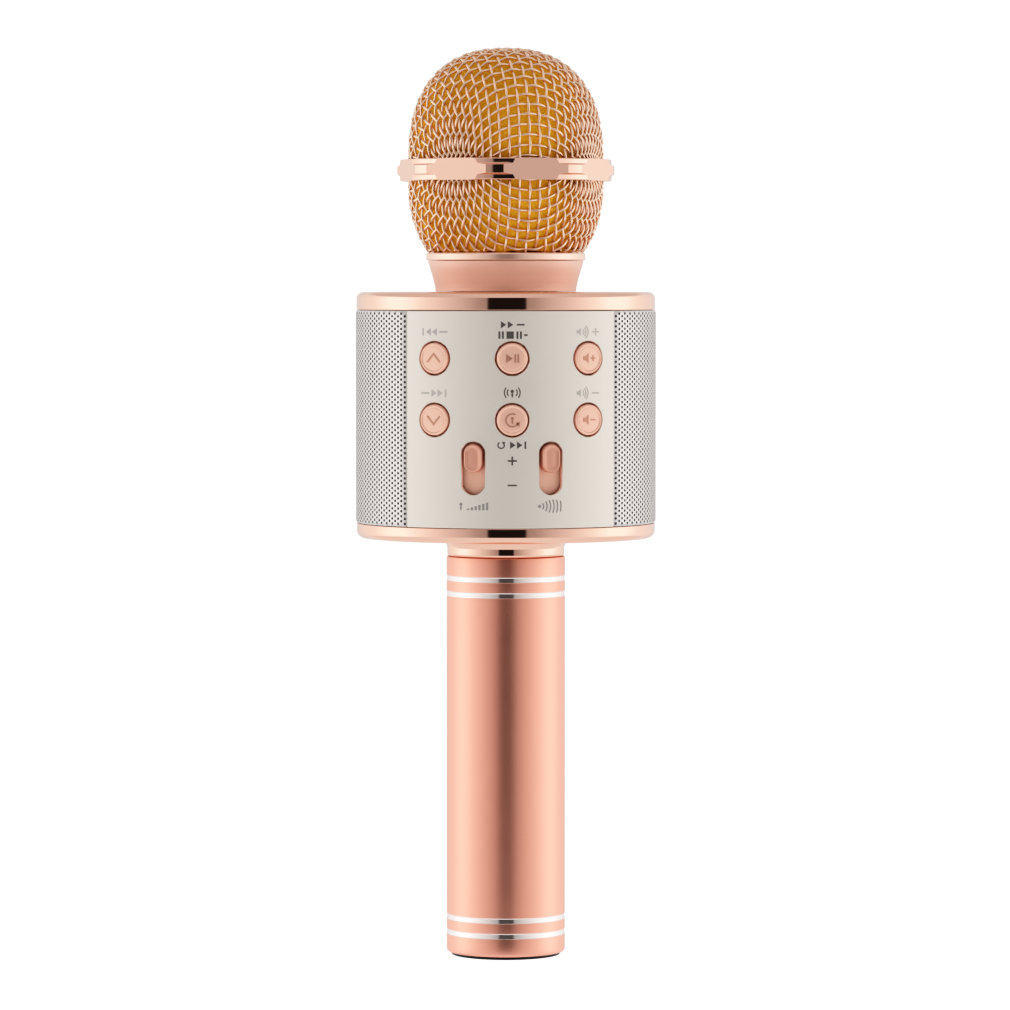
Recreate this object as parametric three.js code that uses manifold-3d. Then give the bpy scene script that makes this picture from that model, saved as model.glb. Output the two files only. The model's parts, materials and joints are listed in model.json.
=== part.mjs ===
// A handheld karaoke microphone with a speaker drum: every piece of the assembly, in millimetres.
// +Z is up, the origin is the centre of the end cap's face, and the control panel faces -Y.
// Bearings run from -Y towards +X, so a bearing of 90 degrees is the right side of the drum.
import * as THREE from "three";
import { mergeVertices } from "three/addons/utils/BufferGeometryUtils.js";
import Module from "manifold-3d";

const wasm = await Module();
wasm.setup();

// ---- Driving dimensions -------------------------------------------------------------------

const GAP = 0.3; // between neighbouring pieces that are cut to each other
const SEAM = 0.1; // between flat faces that meet
const ROUND = 24; // sides of the turned pieces
const DRUM_ROUND = 36; // sides of the drum-sized turned pieces
const SMALL_ROUND = 16; // sides of the small turned pieces

const handle = { radius: 15.9, bore: 14, bottom: 0.75, top: 107.2, chamfer: 0.9 };
const underRing = { radius: 15.75, wallTop: 109.3, lip: 16.5 };
const band = { depth: 0.3, width: 1.5, heights: [7.1, 11.2, 97.5, 101.6] };
const drum = { radius: 40.25, wall: 1.35, bottom: 116.3, top: 173.1, step: 7.5 };
const cap = { radius: 40, wall: 1.4, underside: 111.35, floor: 112.5, top: 178 };
const capFillet = { low: 2.1, high: 2.8, lowFace: 112.2 };
const frontPanel = { half: 42.65 };
const rearPanel = { half: 20 };
const frame = { inner: 37, outer: 38.3, bottom: 114.9, top: 174.9, windowLow: 118.6 };
const neck = { foot: 18.85, lip: 20.9, top: 186.3, socket: 16.9, floor: 180.6 };
const gasketSeat = { radius: 20.2, floor: 185.8 };
const gasket = { bottom: 185.9, top: 186.3, inner: 17.3, outer: 19.9 };
const headRing = { radius: 21.3, bottom: 186.4, top: 188.5, skirt: 16.5, skirtBottom: 181.2 };
const mesh = { radius: 26.3, wall: 1.2, bottom: 188.65, seam: 210 };
const dome = { centre: 213.4, height: 29.9, exponent: 2.4 };
const bowl = { centre: 205.5, height: 28.5, exponent: 2 };
const foam = { clearance: 0.4, wall: 3.2, bottom: 188.95 };
const trim = { radius: 29.1, inner: 26.55, flat: 27.7, flats: 8, turn: 14.3, halfHeight: 2.9 };
const button = { radius: 4.05, hole: 4.35, side: 30.15, rows: [160.7, 144.6], crown: 40.95 };
const slot = { bearing: 14.65, centre: 132, width: 6.3, height: 13.9, travel: 5.3 };
const knob = { width: 4.9, height: 7.5, top: 41.2 };
const shutter = { width: 6.7, height: 19.2, back: 37.3, face: 37.9 };
const board = { face: 31, thickness: 1.6 };
const speaker = { height: 144.65, radius: 24, face: 27.6, back: 12 };
const socketDepth = { mouth: 38.3, board: -3.5 };

// ---- Solids -------------------------------------------------------------------------------

const rad = THREE.MathUtils.degToRad;

function solidOf(geometry) {
  const bare = geometry.index ? geometry.toNonIndexed() : geometry.clone();
  bare.deleteAttribute("normal");
  bare.deleteAttribute("uv");
  const merged = mergeVertices(bare, 1e-4);
  return new wasm.Manifold(
    new wasm.Mesh({
      numProp: 3,
      vertProperties: new Float32Array(merged.attributes.position.array),
      triVerts: new Uint32Array(merged.index.array),
    }),
  );
}

function geometryOf(solid) {
  const made = solid.getMesh();
  const points = new Float32Array(made.numVert * 3);
  for (let i = 0; i < made.numVert; i++) {
    points.set(made.vertProperties.subarray(i * made.numProp, i * made.numProp + 3), i * 3);
  }
  const geometry = new THREE.BufferGeometry();
  geometry.setAttribute("position", new THREE.BufferAttribute(points, 3));
  geometry.setIndex(new THREE.BufferAttribute(new Uint32Array(made.triVerts), 1));
  geometry.computeVertexNormals();
  return geometry;
}

function cut(body, ...tools) {
  return geometryOf(tools.reduce((left, tool) => left.subtract(solidOf(tool)), solidOf(body)));
}

function join(...bodies) {
  return geometryOf(bodies.map(solidOf).reduce((left, right) => left.add(right)));
}

function common(a, b) {
  return geometryOf(solidOf(a).intersect(solidOf(b)));
}

// ---- Shapes -------------------------------------------------------------------------------

// A closed outline of [radius, height] points turned about the Z axis.
function turned(outline, sides = ROUND) {
  const ring = outline.map(([r, z]) => new THREE.Vector2(r, z));
  const onAxis = ring[0].x === 0 && ring[ring.length - 1].x === 0;
  if (!onAxis) ring.push(ring[0].clone());
  if (THREE.ShapeUtils.area(ring) < 0) ring.reverse();
  const lathe = new THREE.LatheGeometry(ring, sides);
  return geometryOf(solidOf(lathe.rotateX(Math.PI / 2)));
}

function disc(radius, bottom, top, sides = ROUND) {
  return turned([[0, bottom], [radius, bottom], [radius, top], [0, top]], sides);
}

function block(x0, x1, y0, y1, z0, z1) {
  const box = new THREE.BoxGeometry(x1 - x0, y1 - y0, z1 - z0);
  return box.translate((x0 + x1) / 2, (y0 + y1) / 2, (z0 + z1) / 2);
}

function extruded(shape, bottom, top, curveSegments = 5) {
  const body = new THREE.ExtrudeGeometry(shape, {
    depth: top - bottom,
    bevelEnabled: false,
    curveSegments,
  });
  return body.translate(0, 0, bottom);
}

// A curved plate between two radii, centred on a bearing.
function arcPlate(inner, outer, bearing, half, bottom, top) {
  const steps = Math.max(2, Math.round((2 * half) / drum.step));
  const edge = (radius, i) => {
    const angle = rad(bearing - half + (2 * half * i) / steps);
    return new THREE.Vector2(radius * Math.sin(angle), -radius * Math.cos(angle));
  };
  const points = [];
  for (let i = 0; i <= steps; i++) points.push(edge(outer, i));
  for (let i = steps; i >= 0; i--) points.push(edge(inner, i));
  return extruded(new THREE.Shape(points), bottom, top);
}

// An upright slot outline with round ends.
function pillShape(width, height) {
  const radius = width / 2;
  const straight = height / 2 - radius;
  const shape = new THREE.Shape();
  shape.absarc(0, straight, radius, 0, Math.PI, false);
  shape.absarc(0, -straight, radius, Math.PI, 2 * Math.PI, false);
  return shape;
}

// Points of a superellipse quarter from its equator at `from` towards its pole.
function shellQuarter(quarter, sign, inset, from, to, steps) {
  const radiusAt = (z) => {
    const t = Math.min(1, Math.max(0, (sign * (z - quarter.centre)) / (quarter.height - inset)));
    return (mesh.radius - inset) * (1 - t ** quarter.exponent) ** (1 / quarter.exponent);
  };
  const points = [];
  for (let i = 0; i <= steps; i++) {
    const ease = Math.sin(((i / steps) * Math.PI) / 2);
    const z = from + (to - from) * ease;
    points.push([radiusAt(z), z]);
  }
  return points;
}

// Local +Z points straight out of the drum at a bearing, local +Y is up.
function outward(bearing, height) {
  const a = rad(bearing);
  return new THREE.Matrix4()
    .makeBasis(
      new THREE.Vector3(Math.cos(a), Math.sin(a), 0),
      new THREE.Vector3(0, 0, 1),
      new THREE.Vector3(Math.sin(a), -Math.cos(a), 0),
    )
    .setPosition(0, 0, height);
}

function station(bearing, height, ...pieces) {
  const group = new THREE.Group();
  group.applyMatrix4(outward(bearing, height));
  group.add(...pieces);
  return group;
}

// ---- Materials ----------------------------------------------------------------------------

function material(color, roughness, metalness) {
  return () => new THREE.MeshStandardMaterial({ color, roughness, metalness });
}

const satinRose = material(0xd9987c, 0.34, 1);
const glossRose = material(0xeab59c, 0.12, 1);
const wireRose = material(0xd88a60, 0.3, 1);
const silver = material(0xe6e3df, 0.28, 1);
const panelMetal = material(0xcfc8bc, 0.38, 0.9);
const goldFoam = material(0xc88a22, 0.95, 0);
const blackPlastic = material(0x151415, 0.5, 0);
const blackRubber = material(0x1b1a1a, 0.85, 0);
const greyPlastic = material(0x50504f, 0.6, 0);
const paper = material(0x23211f, 0.9, 0);
const steel = material(0xb9bcc0, 0.3, 1);
const magnetSteel = material(0x4a4b4d, 0.45, 1);
const circuitBoard = material(0x1f5b37, 0.55, 0);
const cellWrap = material(0x2c6fa3, 0.4, 0);
const clearLens = material(0xdfe8ee, 0.1, 0);

function piece(name, geometry, paint) {
  const made = new THREE.Mesh(geometry, paint());
  made.name = name;
  return made;
}

// ---- Handle -------------------------------------------------------------------------------

function handleTube() {
  const { radius, bore, bottom, top, chamfer } = handle;
  const outline = [[bore, bottom], [radius - chamfer, bottom], [radius, bottom + chamfer]];
  for (const centre of band.heights) {
    const low = centre - band.width / 2;
    const high = centre + band.width / 2;
    const floor = radius - band.depth;
    outline.push([radius, low], [floor, low], [floor, high], [radius, high]);
  }
  outline.push([radius, top], [bore, top]);
  return piece("handle_tube", turned(outline), satinRose);
}

function endCap() {
  const flange = handle.bottom - SEAM;
  const plug = handle.bore - GAP;
  const edge = 0.5;
  const outline = [
    [1.6, 0], [14.6 - edge, 0], [14.6, edge], [14.6, flange],
    [plug, flange], [plug, 8], [plug - 2, 8], [plug - 2, 3], [1.6, 3],
  ];
  const headRecess = disc(3.2, -1, 1.5, SMALL_ROUND);
  return piece("end_cap", cut(turned(outline), headRecess), blackPlastic);
}

function endCapScrew() {
  const head = disc(2.9, 0.4, 1.4, SMALL_ROUND);
  const shank = disc(1.2, 1.3, 12, 12);
  const driveSlot = block(-2.2, 2.2, -0.3, 0.3, 0.2, 0.9);
  return piece("end_cap_screw", cut(join(head, shank), driveSlot), steel);
}

function batteryHolder() {
  const plug = handle.bore - GAP;
  const foot = cut(disc(plug, 8.4, 14.5), disc(1.5, 8, 12.6, 12));
  const head = cut(disc(plug, 83, 87), disc(4, 82, 88, 12));
  const spine = common(disc(plug, 14, 83.5), block(-5, 5, 9.8, 13.4, 14, 83.5));
  return piece("battery_holder", join(foot, head, spine), greyPlastic);
}

function batteryCell() {
  const outline = [
    [0, 15.2], [8.6, 15.2], [9.1, 15.8], [9.1, 79.2], [8.6, 79.8],
    [3.2, 79.8], [3.2, 81.4], [0, 81.4],
  ];
  return piece("battery_cell", turned(outline, SMALL_ROUND), cellWrap);
}

function handleTrimRing() {
  const low = handle.top + SEAM;
  const high = cap.underside - SEAM;
  const { radius, wallTop, lip } = underRing;
  const outline = [
    [11.4, low], [radius - 0.3, low], [radius, low + 0.3], [radius, wallTop],
    [radius + 0.25, wallTop + 1], [lip, high], [11.4, high],
  ];
  return piece("handle_trim_ring", turned(outline), glossRose);
}

function handleCoupling() {
  const outline = [
    [6, 96], [handle.bore - GAP, 96], [handle.bore - GAP, handle.top - 1],
    [11, handle.top - 1], [11, cap.floor + SEAM], [16, cap.floor + SEAM], [16, 114.4], [6, 114.4],
  ];
  return piece("handle_coupling", turned(outline), greyPlastic);
}

// ---- Drum ---------------------------------------------------------------------------------

// Points of a quarter round between the side of a cap and its face.
function filletPoints(side, edge, radius, sign) {
  const points = [];
  for (let i = 0; i <= 4; i++) {
    const a = (i * Math.PI) / 8;
    points.push([side - radius * (1 - Math.cos(a)), edge + sign * radius * Math.sin(a)]);
  }
  return points;
}

function bottomCap() {
  const seam = drum.bottom - SEAM;
  const { low, lowFace } = capFillet;
  const outline = [
    [11.4, cap.underside], [17, cap.underside],
    ...filletPoints(cap.radius, lowFace + low, low, -1).reverse(),
    [cap.radius, seam], [cap.radius - cap.wall, seam], [cap.radius - cap.wall, 114.7],
    [36.4, 113.4], [18, cap.floor], [11.4, cap.floor],
  ];
  return piece("bottom_cap", turned(outline, DRUM_ROUND), glossRose);
}

function topCap() {
  const seam = drum.top + SEAM;
  const inside = cap.top - cap.wall;
  const outline = [
    [cap.radius - cap.wall, seam], [cap.radius, seam],
    ...filletPoints(cap.radius, cap.top - capFillet.high, capFillet.high, 1),
    [14.3, cap.top], [14.3, inside], [37, inside], [cap.radius - cap.wall, inside - 1.5],
  ];
  return piece("top_cap", turned(outline, DRUM_ROUND), glossRose);
}

function panelPlate(bearing, half) {
  return arcPlate(drum.radius - drum.wall, drum.radius, bearing, half, drum.bottom, drum.top);
}

function hole(radius, bearing, height) {
  return disc(radius, 34, 44, 20).applyMatrix4(outward(bearing, height));
}

function slotHole(width, tall, bearing, height) {
  return extruded(pillShape(width, tall), 34, 44).applyMatrix4(outward(bearing, height));
}

const KEYS = [
  { name: "previous", column: -1, row: 0 },
  { name: "next", column: -1, row: 1 },
  { name: "play_pause", column: 0, row: 0 },
  { name: "replay", column: 0, row: 1 },
  { name: "volume_up", column: 1, row: 0 },
  { name: "volume_down", column: 1, row: 1 },
];
const SLIDERS = [
  { name: "mic_volume", side: -1 },
  { name: "echo", side: 1 },
];
const SIDES = [
  { name: "left", side: -1 },
  { name: "right", side: 1 },
];

function frontPanelPiece() {
  const keyHoles = KEYS.map((key) =>
    hole(button.hole, key.column * button.side, button.rows[key.row]),
  );
  const slots = SLIDERS.map((slider) =>
    slotHole(slot.width, slot.height, slider.side * slot.bearing, slot.centre),
  );
  const plate = panelPlate(0, frontPanel.half);
  return piece("front_panel", cut(plate, ...keyHoles, ...slots), panelMetal);
}

const rear = {
  chargingZ: 125.5,
  jackZ: 136,
  lampZ: 143.2,
  cardZ: 151.4,
  switchZ: 164.4,
  switchTravel: 3,
};

function rearPanelPiece() {
  const openings = [
    slotHole(3.4, 8.4, 180, rear.chargingZ),
    hole(3.3, 180, rear.jackZ),
    hole(1.2, 180, rear.lampZ),
    slotHole(2.2, 12.4, 180, rear.cardZ),
    slotHole(4.2, 8.6, 180, rear.switchZ),
  ];
  const plate = panelPlate(180, rearPanel.half);
  return piece("rear_panel", cut(plate, ...openings), panelMetal);
}

// The perforated side grilles fill what the two panels leave.
function grille({ name, side }) {
  const clearance = 0.45;
  const first = frontPanel.half + clearance;
  const last = 180 - rearPanel.half - clearance;
  const half = (last - first) / 2;
  const bearing = side * (first + half);
  const inner = drum.radius - 0.75;
  const outer = drum.radius - 0.05;
  const plate = arcPlate(inner, outer, bearing, half, drum.bottom, drum.top);
  return piece(`grille_${name}`, plate, silver);
}

// Half of the inner frame, open for a speaker on each side and for the controls or sockets.
function frameHalf(name, bearing, windowHalf, bossNear, bossFar) {
  const { inner, outer, bottom, top, windowLow } = frame;
  const shell = arcPlate(inner, outer, bearing, 89.5, bottom, top);
  const window = arcPlate(inner - 2, outer + 2, bearing, windowHalf, windowLow, 170.5);
  const speakerHole = disc(22.5, -50, 50)
    .rotateY(Math.PI / 2)
    .translate(0, 0, speaker.height);
  const bosses = SIDES.map(({ side }) => {
    const xs = [side * 31, side * (inner + 0.4)].sort((a, b) => a - b);
    return block(xs[0], xs[1], bossNear, bossFar, 116, 121);
  });
  const bores = SIDES.map(({ side }) => frameScrewAxis(1.5, -20, 20, side));
  const body = cut(join(shell, ...bosses), window, speakerHole, ...bores);
  return piece(name, body, blackPlastic);
}

// A rod along +Y on the axis of one of the two screws that hold the frame halves together.
function frameScrewAxis(radius, near, far, side) {
  return disc(radius, near, far, 12)
    .rotateX(-Math.PI / 2)
    .translate(side * 33.4, 0, 118.5);
}

function frameScrew({ name, side }) {
  const shank = frameScrewAxis(1.2, -4, 6, side);
  const head = frameScrewAxis(2.2, 5.6, 7.2, side);
  const driveSlot = block(side * 33.4 - 0.3, side * 33.4 + 0.3, 6.7, 8, 116.8, 120.2);
  return piece(`frame_screw_${name}`, cut(join(shank, head), driveSlot), steel);
}

// ---- Speakers -----------------------------------------------------------------------------

function onSpeakerAxis(side, ...pieces) {
  return station(side * 90, speaker.height, ...pieces);
}

function speakerPieces({ name, side }) {
  const { radius, face, back } = speaker;
  const basket = turned([
    [11, back], [12.5, back], [21, 22], [radius, 25.6], [radius, face], [22.2, face],
    [22.2, 26.2], [19.9, 22.8], [11, 13.6],
  ]);
  const magnet = turned([
    [0, 2.5], [14, 2.5], [14, back - GAP], [0, back - GAP],
  ]);
  const cone = turned([
    [0, 19.4], [5.6, 18.2], [5.6, back + GAP], [6, back + GAP], [6, 18.6], [16.8, 23.9],
    [18.4, 25.6], [20.2, 26.8], [21.9, 26.4], [21.9, 27], [20, 27.4], [17.8, 26.2],
    [16.2, 24.6], [6.2, 19.9], [4, 20.9], [0, 21.6],
  ], SMALL_ROUND);
  return onSpeakerAxis(
    side,
    piece(`speaker_basket_${name}`, basket, steel),
    piece(`speaker_magnet_${name}`, magnet, magnetSteel),
    piece(`speaker_cone_${name}`, cone, paper),
  );
}

// ---- Controls -----------------------------------------------------------------------------

function keyPieces(key) {
  const capBack = 37.3;
  const flangeTop = 38;
  const edge = button.crown - 0.5;
  const keyCap = turned([
    [0, 36.3], [1.6, 36.3], [1.6, capBack], [4.9, capBack], [4.9, flangeTop],
    [button.radius, flangeTop], [button.radius, edge - 0.25], [button.radius - 0.3, edge],
    [2.2, button.crown - 0.1], [0, button.crown],
  ], SMALL_ROUND);
  const switchTop = 34.6;
  const body = block(-3, 3, -3, 3, board.face + GAP, switchTop);
  const plunger = disc(1.7, switchTop - 0.5, 35.5, 12);
  return station(
    key.column * button.side,
    button.rows[key.row],
    piece(`button_${key.name}`, keyCap, glossRose),
    piece(`tact_switch_${key.name}`, join(body, plunger), blackPlastic),
  );
}

// The main control board, narrow between the side key boards and wide below them.
function controlBoard() {
  const shape = new THREE.Shape([
    new THREE.Vector2(-18, 119),
    new THREE.Vector2(18, 119),
    new THREE.Vector2(18, 138.4),
    new THREE.Vector2(8.6, 138.4),
    new THREE.Vector2(8.6, 170),
    new THREE.Vector2(-8.6, 170),
    new THREE.Vector2(-8.6, 138.4),
    new THREE.Vector2(-18, 138.4),
  ]);
  const plate = extruded(shape, board.face - board.thickness, board.face);
  return station(0, 0, piece("control_board", plate, circuitBoard));
}

function keyBoard({ name, side }) {
  const plate = block(-6.4, 6.4, -14, 17, board.face - board.thickness, board.face);
  return station(side * button.side, 153, piece(`key_board_${name}`, plate, circuitBoard));
}

// A slider is a knob on a shutter plate that runs in a tray and keeps the slot closed all the way.
function sliderPieces(slider) {
  const trayFloor = 36.5;
  const trayWall = 0.6;
  const hollow = {
    width: shutter.width + GAP,
    height: shutter.height + slot.travel + GAP,
    floor: shutter.back - SEAM,
  };
  const traySolid = extruded(
    pillShape(hollow.width + 2 * trayWall, hollow.height + 2 * trayWall), trayFloor, 38.2,
  );
  const trayHollow = extruded(pillShape(hollow.width, hollow.height), hollow.floor, 40);
  const traySlit = extruded(pillShape(2.4, slot.travel + 3), trayFloor - 1, 40);
  const tray = cut(traySolid, trayHollow, traySlit);

  const plate = extruded(pillShape(shutter.width, shutter.height), shutter.back, shutter.face);
  const crown = extruded(pillShape(knob.width, knob.height), shutter.back, knob.top - 0.4);
  const face = extruded(pillShape(knob.width - 0.8, knob.height - 0.8), knob.top - 0.6, knob.top);
  const stem = block(-0.8, 0.8, -1, 1, 35.6, shutter.face);
  const grip = join(plate, crown, face, stem);
  const gripPiece = piece(`slider_${slider.name}`, grip, glossRose);
  gripPiece.position.y = slot.travel / 2;

  return station(
    slider.side * slot.bearing,
    slot.centre,
    piece(`slot_tray_${slider.name}`, tray, satinRose),
    gripPiece,
  );
}

function slidePot(slider) {
  const centre = slider.side * 9.2;
  const can = block(centre - 3.2, centre + 3.2, -33.9, -board.face - GAP, 125, 138);
  return piece(`slide_pot_${slider.name}`, can, steel);
}

// ---- Sockets and power switch at the back -------------------------------------------------

function rearBoard() {
  const plate = block(
    socketDepth.board - board.thickness, socketDepth.board - GAP, 20, 37.4, 121.3, 170.2,
  );
  return piece("rear_board", plate, circuitBoard);
}

function chargingSocket() {
  const z = rear.chargingZ;
  const shell = block(socketDepth.board, 1.4, 32.4, socketDepth.mouth, z - 3.9, z + 3.9);
  const mouth = block(-0.95, 0.95, 34, 40, z - 3.4, z + 3.4);
  const tongue = block(-0.3, 0.3, 33, 37.6, z - 2.6, z + 2.6);
  return piece("charging_socket", join(cut(shell, mouth), tongue), steel);
}

function audioJack() {
  const z = rear.jackZ;
  const body = block(socketDepth.board, 3.2, 26, 35.6, z - 3.2, z + 3.2);
  const nose = disc(2.9, 35, 39.6, SMALL_ROUND);
  const bore = disc(1.8, 27, 41, 12);
  const turnBack = outward(180, z);
  const made = cut(join(body, nose.applyMatrix4(turnBack)), bore.applyMatrix4(turnBack));
  return piece("audio_jack", made, blackPlastic);
}

function cardSlot() {
  const z = rear.cardZ;
  const shell = block(socketDepth.board, 1, 24, socketDepth.mouth, z - 6.2, z + 6.2);
  const mouth = block(-0.5, 0.5, 26, 40, z - 5.6, z + 5.6);
  return piece("card_slot", cut(shell, mouth), steel);
}

function powerSwitchPieces() {
  const z = rear.switchZ;
  const can = block(socketDepth.board, 2.6, 31, 36, z - 4.5, z + 4.5);
  const gripCentre = -rear.switchTravel / 2;
  const flange = block(-2.8, 2.8, gripCentre - 2.9, gripCentre + 2.9, 36.9, 37.9);
  const grip = extruded(pillShape(3.4, 4.4), 37.5, button.crown).translate(0, gripCentre, 0);
  const stem = block(-0.7, 0.7, gripCentre - 0.8, gripCentre + 0.8, 36.3, 37.5);
  return [
    station(180, z, piece("power_knob", join(flange, grip, stem), blackPlastic)),
    piece("power_switch", can, steel),
  ];
}

function indicatorLens() {
  const outline = [[0, 36.8], [1.6, 36.8], [1.6, 38.2], [0.9, 38.2], [0.9, 40.1], [0, 40.4]];
  return station(180, rear.lampZ, piece("indicator_lens", turned(outline, SMALL_ROUND), clearLens));
}

// ---- Neck and capsule ---------------------------------------------------------------------

function neckCollar() {
  const foot = cap.top + SEAM;
  const outline = [
    [7, 174.4], [14, 174.4], [14, foot], [neck.foot, foot], [18.95, foot + 0.9],
    [19.15, foot + 2], [19.65, foot + 4.1], [20.3, foot + 6.2], [neck.lip, neck.top],
    [gasketSeat.radius, neck.top], [gasketSeat.radius, gasketSeat.floor],
    [neck.socket, gasketSeat.floor], [neck.socket, neck.floor], [7, neck.floor],
  ];
  return piece("neck_collar", turned(outline), satinRose);
}

function capsuleHolder() {
  const outline = [
    [2, neck.floor + SEAM], [12, neck.floor + SEAM], [12, 182], [6, 183.2], [5, 186],
    [5, 196], [8.6, 200], [8.6, 205.6], [5.3, 205.6], [5.3, 200.6], [2, 200.6],
  ];
  return piece("capsule_holder", turned(outline, SMALL_ROUND), blackRubber);
}

function micCapsule() {
  const outline = [[0, 200.9], [4.9, 200.9], [4.9, 206], [4.4, 206.5], [0, 206.5]];
  return piece("mic_capsule", turned(outline, SMALL_ROUND), steel);
}

// ---- Head ---------------------------------------------------------------------------------

function headGasket() {
  const { inner, outer, bottom, top } = gasket;
  const outline = [[inner, bottom], [outer, bottom], [outer, top], [inner, top]];
  return piece("head_gasket", turned(outline), blackRubber);
}

function headRingPiece() {
  const { radius, bottom, top, skirt, skirtBottom } = headRing;
  const edge = 0.4;
  const outline = [
    [skirt - 1.6, skirtBottom], [skirt, skirtBottom], [skirt, bottom], [radius - edge, bottom],
    [radius, bottom + edge], [radius, top - edge], [radius - edge, top], [skirt - 1.6, top],
  ];
  return piece("head_ring", turned(outline), glossRose);
}

function domeShell(inset, wall, from, steps) {
  const top = dome.centre + dome.height;
  const outer = shellQuarter(dome, 1, inset, from, top - inset, steps);
  const inner = shellQuarter(dome, 1, inset + wall, from, top - inset - wall, steps - 1);
  return [...outer, ...inner.reverse()];
}

function meshDome() {
  const outline = domeShell(0, mesh.wall, mesh.seam + SEAM, 7);
  return piece("mesh_dome", turned(closeOnAxis(outline)), wireRose);
}

// The poles of a dome's outline lie exactly on the axis.
function closeOnAxis(outline) {
  const [first, ...rest] = [...outline];
  const pole = outline.findIndex(([r], i) => i > 0 && r < 1e-6 && outline[i + 1][0] < 1e-6);
  const turnedRound = [...outline.slice(pole + 1), first, ...rest.slice(0, pole)];
  return turnedRound.map(([r, z], i, all) => (i === 0 || i === all.length - 1 ? [0, z] : [r, z]));
}

function meshBasket() {
  const seam = mesh.seam - SEAM;
  const outer = shellQuarter(bowl, -1, 0, seam, mesh.bottom, 5);
  const inner = shellQuarter(bowl, -1, mesh.wall, seam, mesh.bottom, 5);
  return piece("mesh_basket", turned([...outer, ...inner.reverse()]), wireRose);
}

function foamWindscreen() {
  const inset = mesh.wall + foam.clearance;
  const upper = domeShell(inset, foam.wall, mesh.seam, 6);
  const lowOuter = shellQuarter(bowl, -1, inset, mesh.seam, foam.bottom, 4).slice(1);
  const lowInner = shellQuarter(bowl, -1, inset + foam.wall, mesh.seam, foam.bottom, 4).slice(1);
  const outline = [...lowOuter.reverse(), ...upper, ...lowInner];
  return piece("foam_windscreen", turned(closeOnAxis(outline)), goldFoam);
}

// A ring round the head's equator, with flats cut round it.
function trimRing() {
  const { radius, inner, flat, flats, turn, halfHeight } = trim;
  const half = [[inner, halfHeight], [27.1, halfHeight], [28.2, 2.3], [radius, 1]];
  const below = half.map(([r, dz]) => [r, -dz]).reverse();
  const ring = turned([...half, ...below], DRUM_ROUND);
  const corner = flat / Math.cos(Math.PI / flats);
  const corners = [];
  for (let i = 0; i < flats; i++) {
    const a = rad(turn) + ((i + 0.5) * 2 * Math.PI) / flats;
    corners.push(new THREE.Vector2(corner * Math.sin(a), -corner * Math.cos(a)));
  }
  const prism = extruded(new THREE.Shape(corners), -5, 5);
  const made = piece("trim_ring", common(ring, prism), glossRose);
  made.position.z = mesh.seam;
  return made;
}

// ---- The microphone -----------------------------------------------------------------------

const microphone = new THREE.Group();
microphone.name = "karaoke_microphone";
microphone.add(
  handleTube(), endCap(), endCapScrew(), batteryHolder(), batteryCell(),
  handleTrimRing(), handleCoupling(),
  bottomCap(), topCap(), frontPanelPiece(), rearPanelPiece(), ...SIDES.map(grille),
  frameHalf("front_frame", 0, 41, -5, -GAP / 2),
  frameHalf("rear_frame", 180, 17, GAP / 2, 5),
  ...SIDES.map(frameScrew),
  ...SIDES.map(speakerPieces),
  controlBoard(), ...SIDES.map(keyBoard), ...KEYS.map(keyPieces),
  ...SLIDERS.map(sliderPieces), ...SLIDERS.map(slidePot),
  rearBoard(), chargingSocket(), audioJack(), cardSlot(), ...powerSwitchPieces(), indicatorLens(),
  neckCollar(), capsuleHolder(), micCapsule(),
  headGasket(), headRingPiece(), meshDome(), meshBasket(), foamWindscreen(), trimRing(),
);

export default microphone;
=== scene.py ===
"""Looks of a handheld karaoke microphone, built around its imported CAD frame.

Lengths in this file are millimetres unless a name ends in _m; MM turns them into Blender's metres.
A bearing is an angle round the Z axis from the control panel's middle, -Y, towards +X.
"""
import json
from math import acos, atan2, cos, degrees, hypot, pi, radians, sin, sqrt, tau

import bpy
from mathutils import Matrix, Vector, geometry, noise


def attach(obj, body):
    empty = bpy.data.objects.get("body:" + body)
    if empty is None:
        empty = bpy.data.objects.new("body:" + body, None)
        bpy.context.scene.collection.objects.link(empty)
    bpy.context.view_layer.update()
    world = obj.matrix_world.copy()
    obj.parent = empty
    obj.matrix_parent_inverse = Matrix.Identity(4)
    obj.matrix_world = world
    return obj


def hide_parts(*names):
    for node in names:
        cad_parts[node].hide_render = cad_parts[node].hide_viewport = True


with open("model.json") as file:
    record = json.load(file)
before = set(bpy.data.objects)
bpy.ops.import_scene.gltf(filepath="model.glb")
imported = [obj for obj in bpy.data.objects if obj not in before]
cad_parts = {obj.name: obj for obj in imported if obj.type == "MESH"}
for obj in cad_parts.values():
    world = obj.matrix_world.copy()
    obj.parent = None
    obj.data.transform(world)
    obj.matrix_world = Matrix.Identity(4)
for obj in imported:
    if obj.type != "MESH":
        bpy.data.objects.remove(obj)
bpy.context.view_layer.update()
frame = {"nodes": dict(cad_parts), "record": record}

MM = 0.001
NODES = frame["nodes"]

# ---- Driving dimensions ------------------------------------------------------------------------

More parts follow.
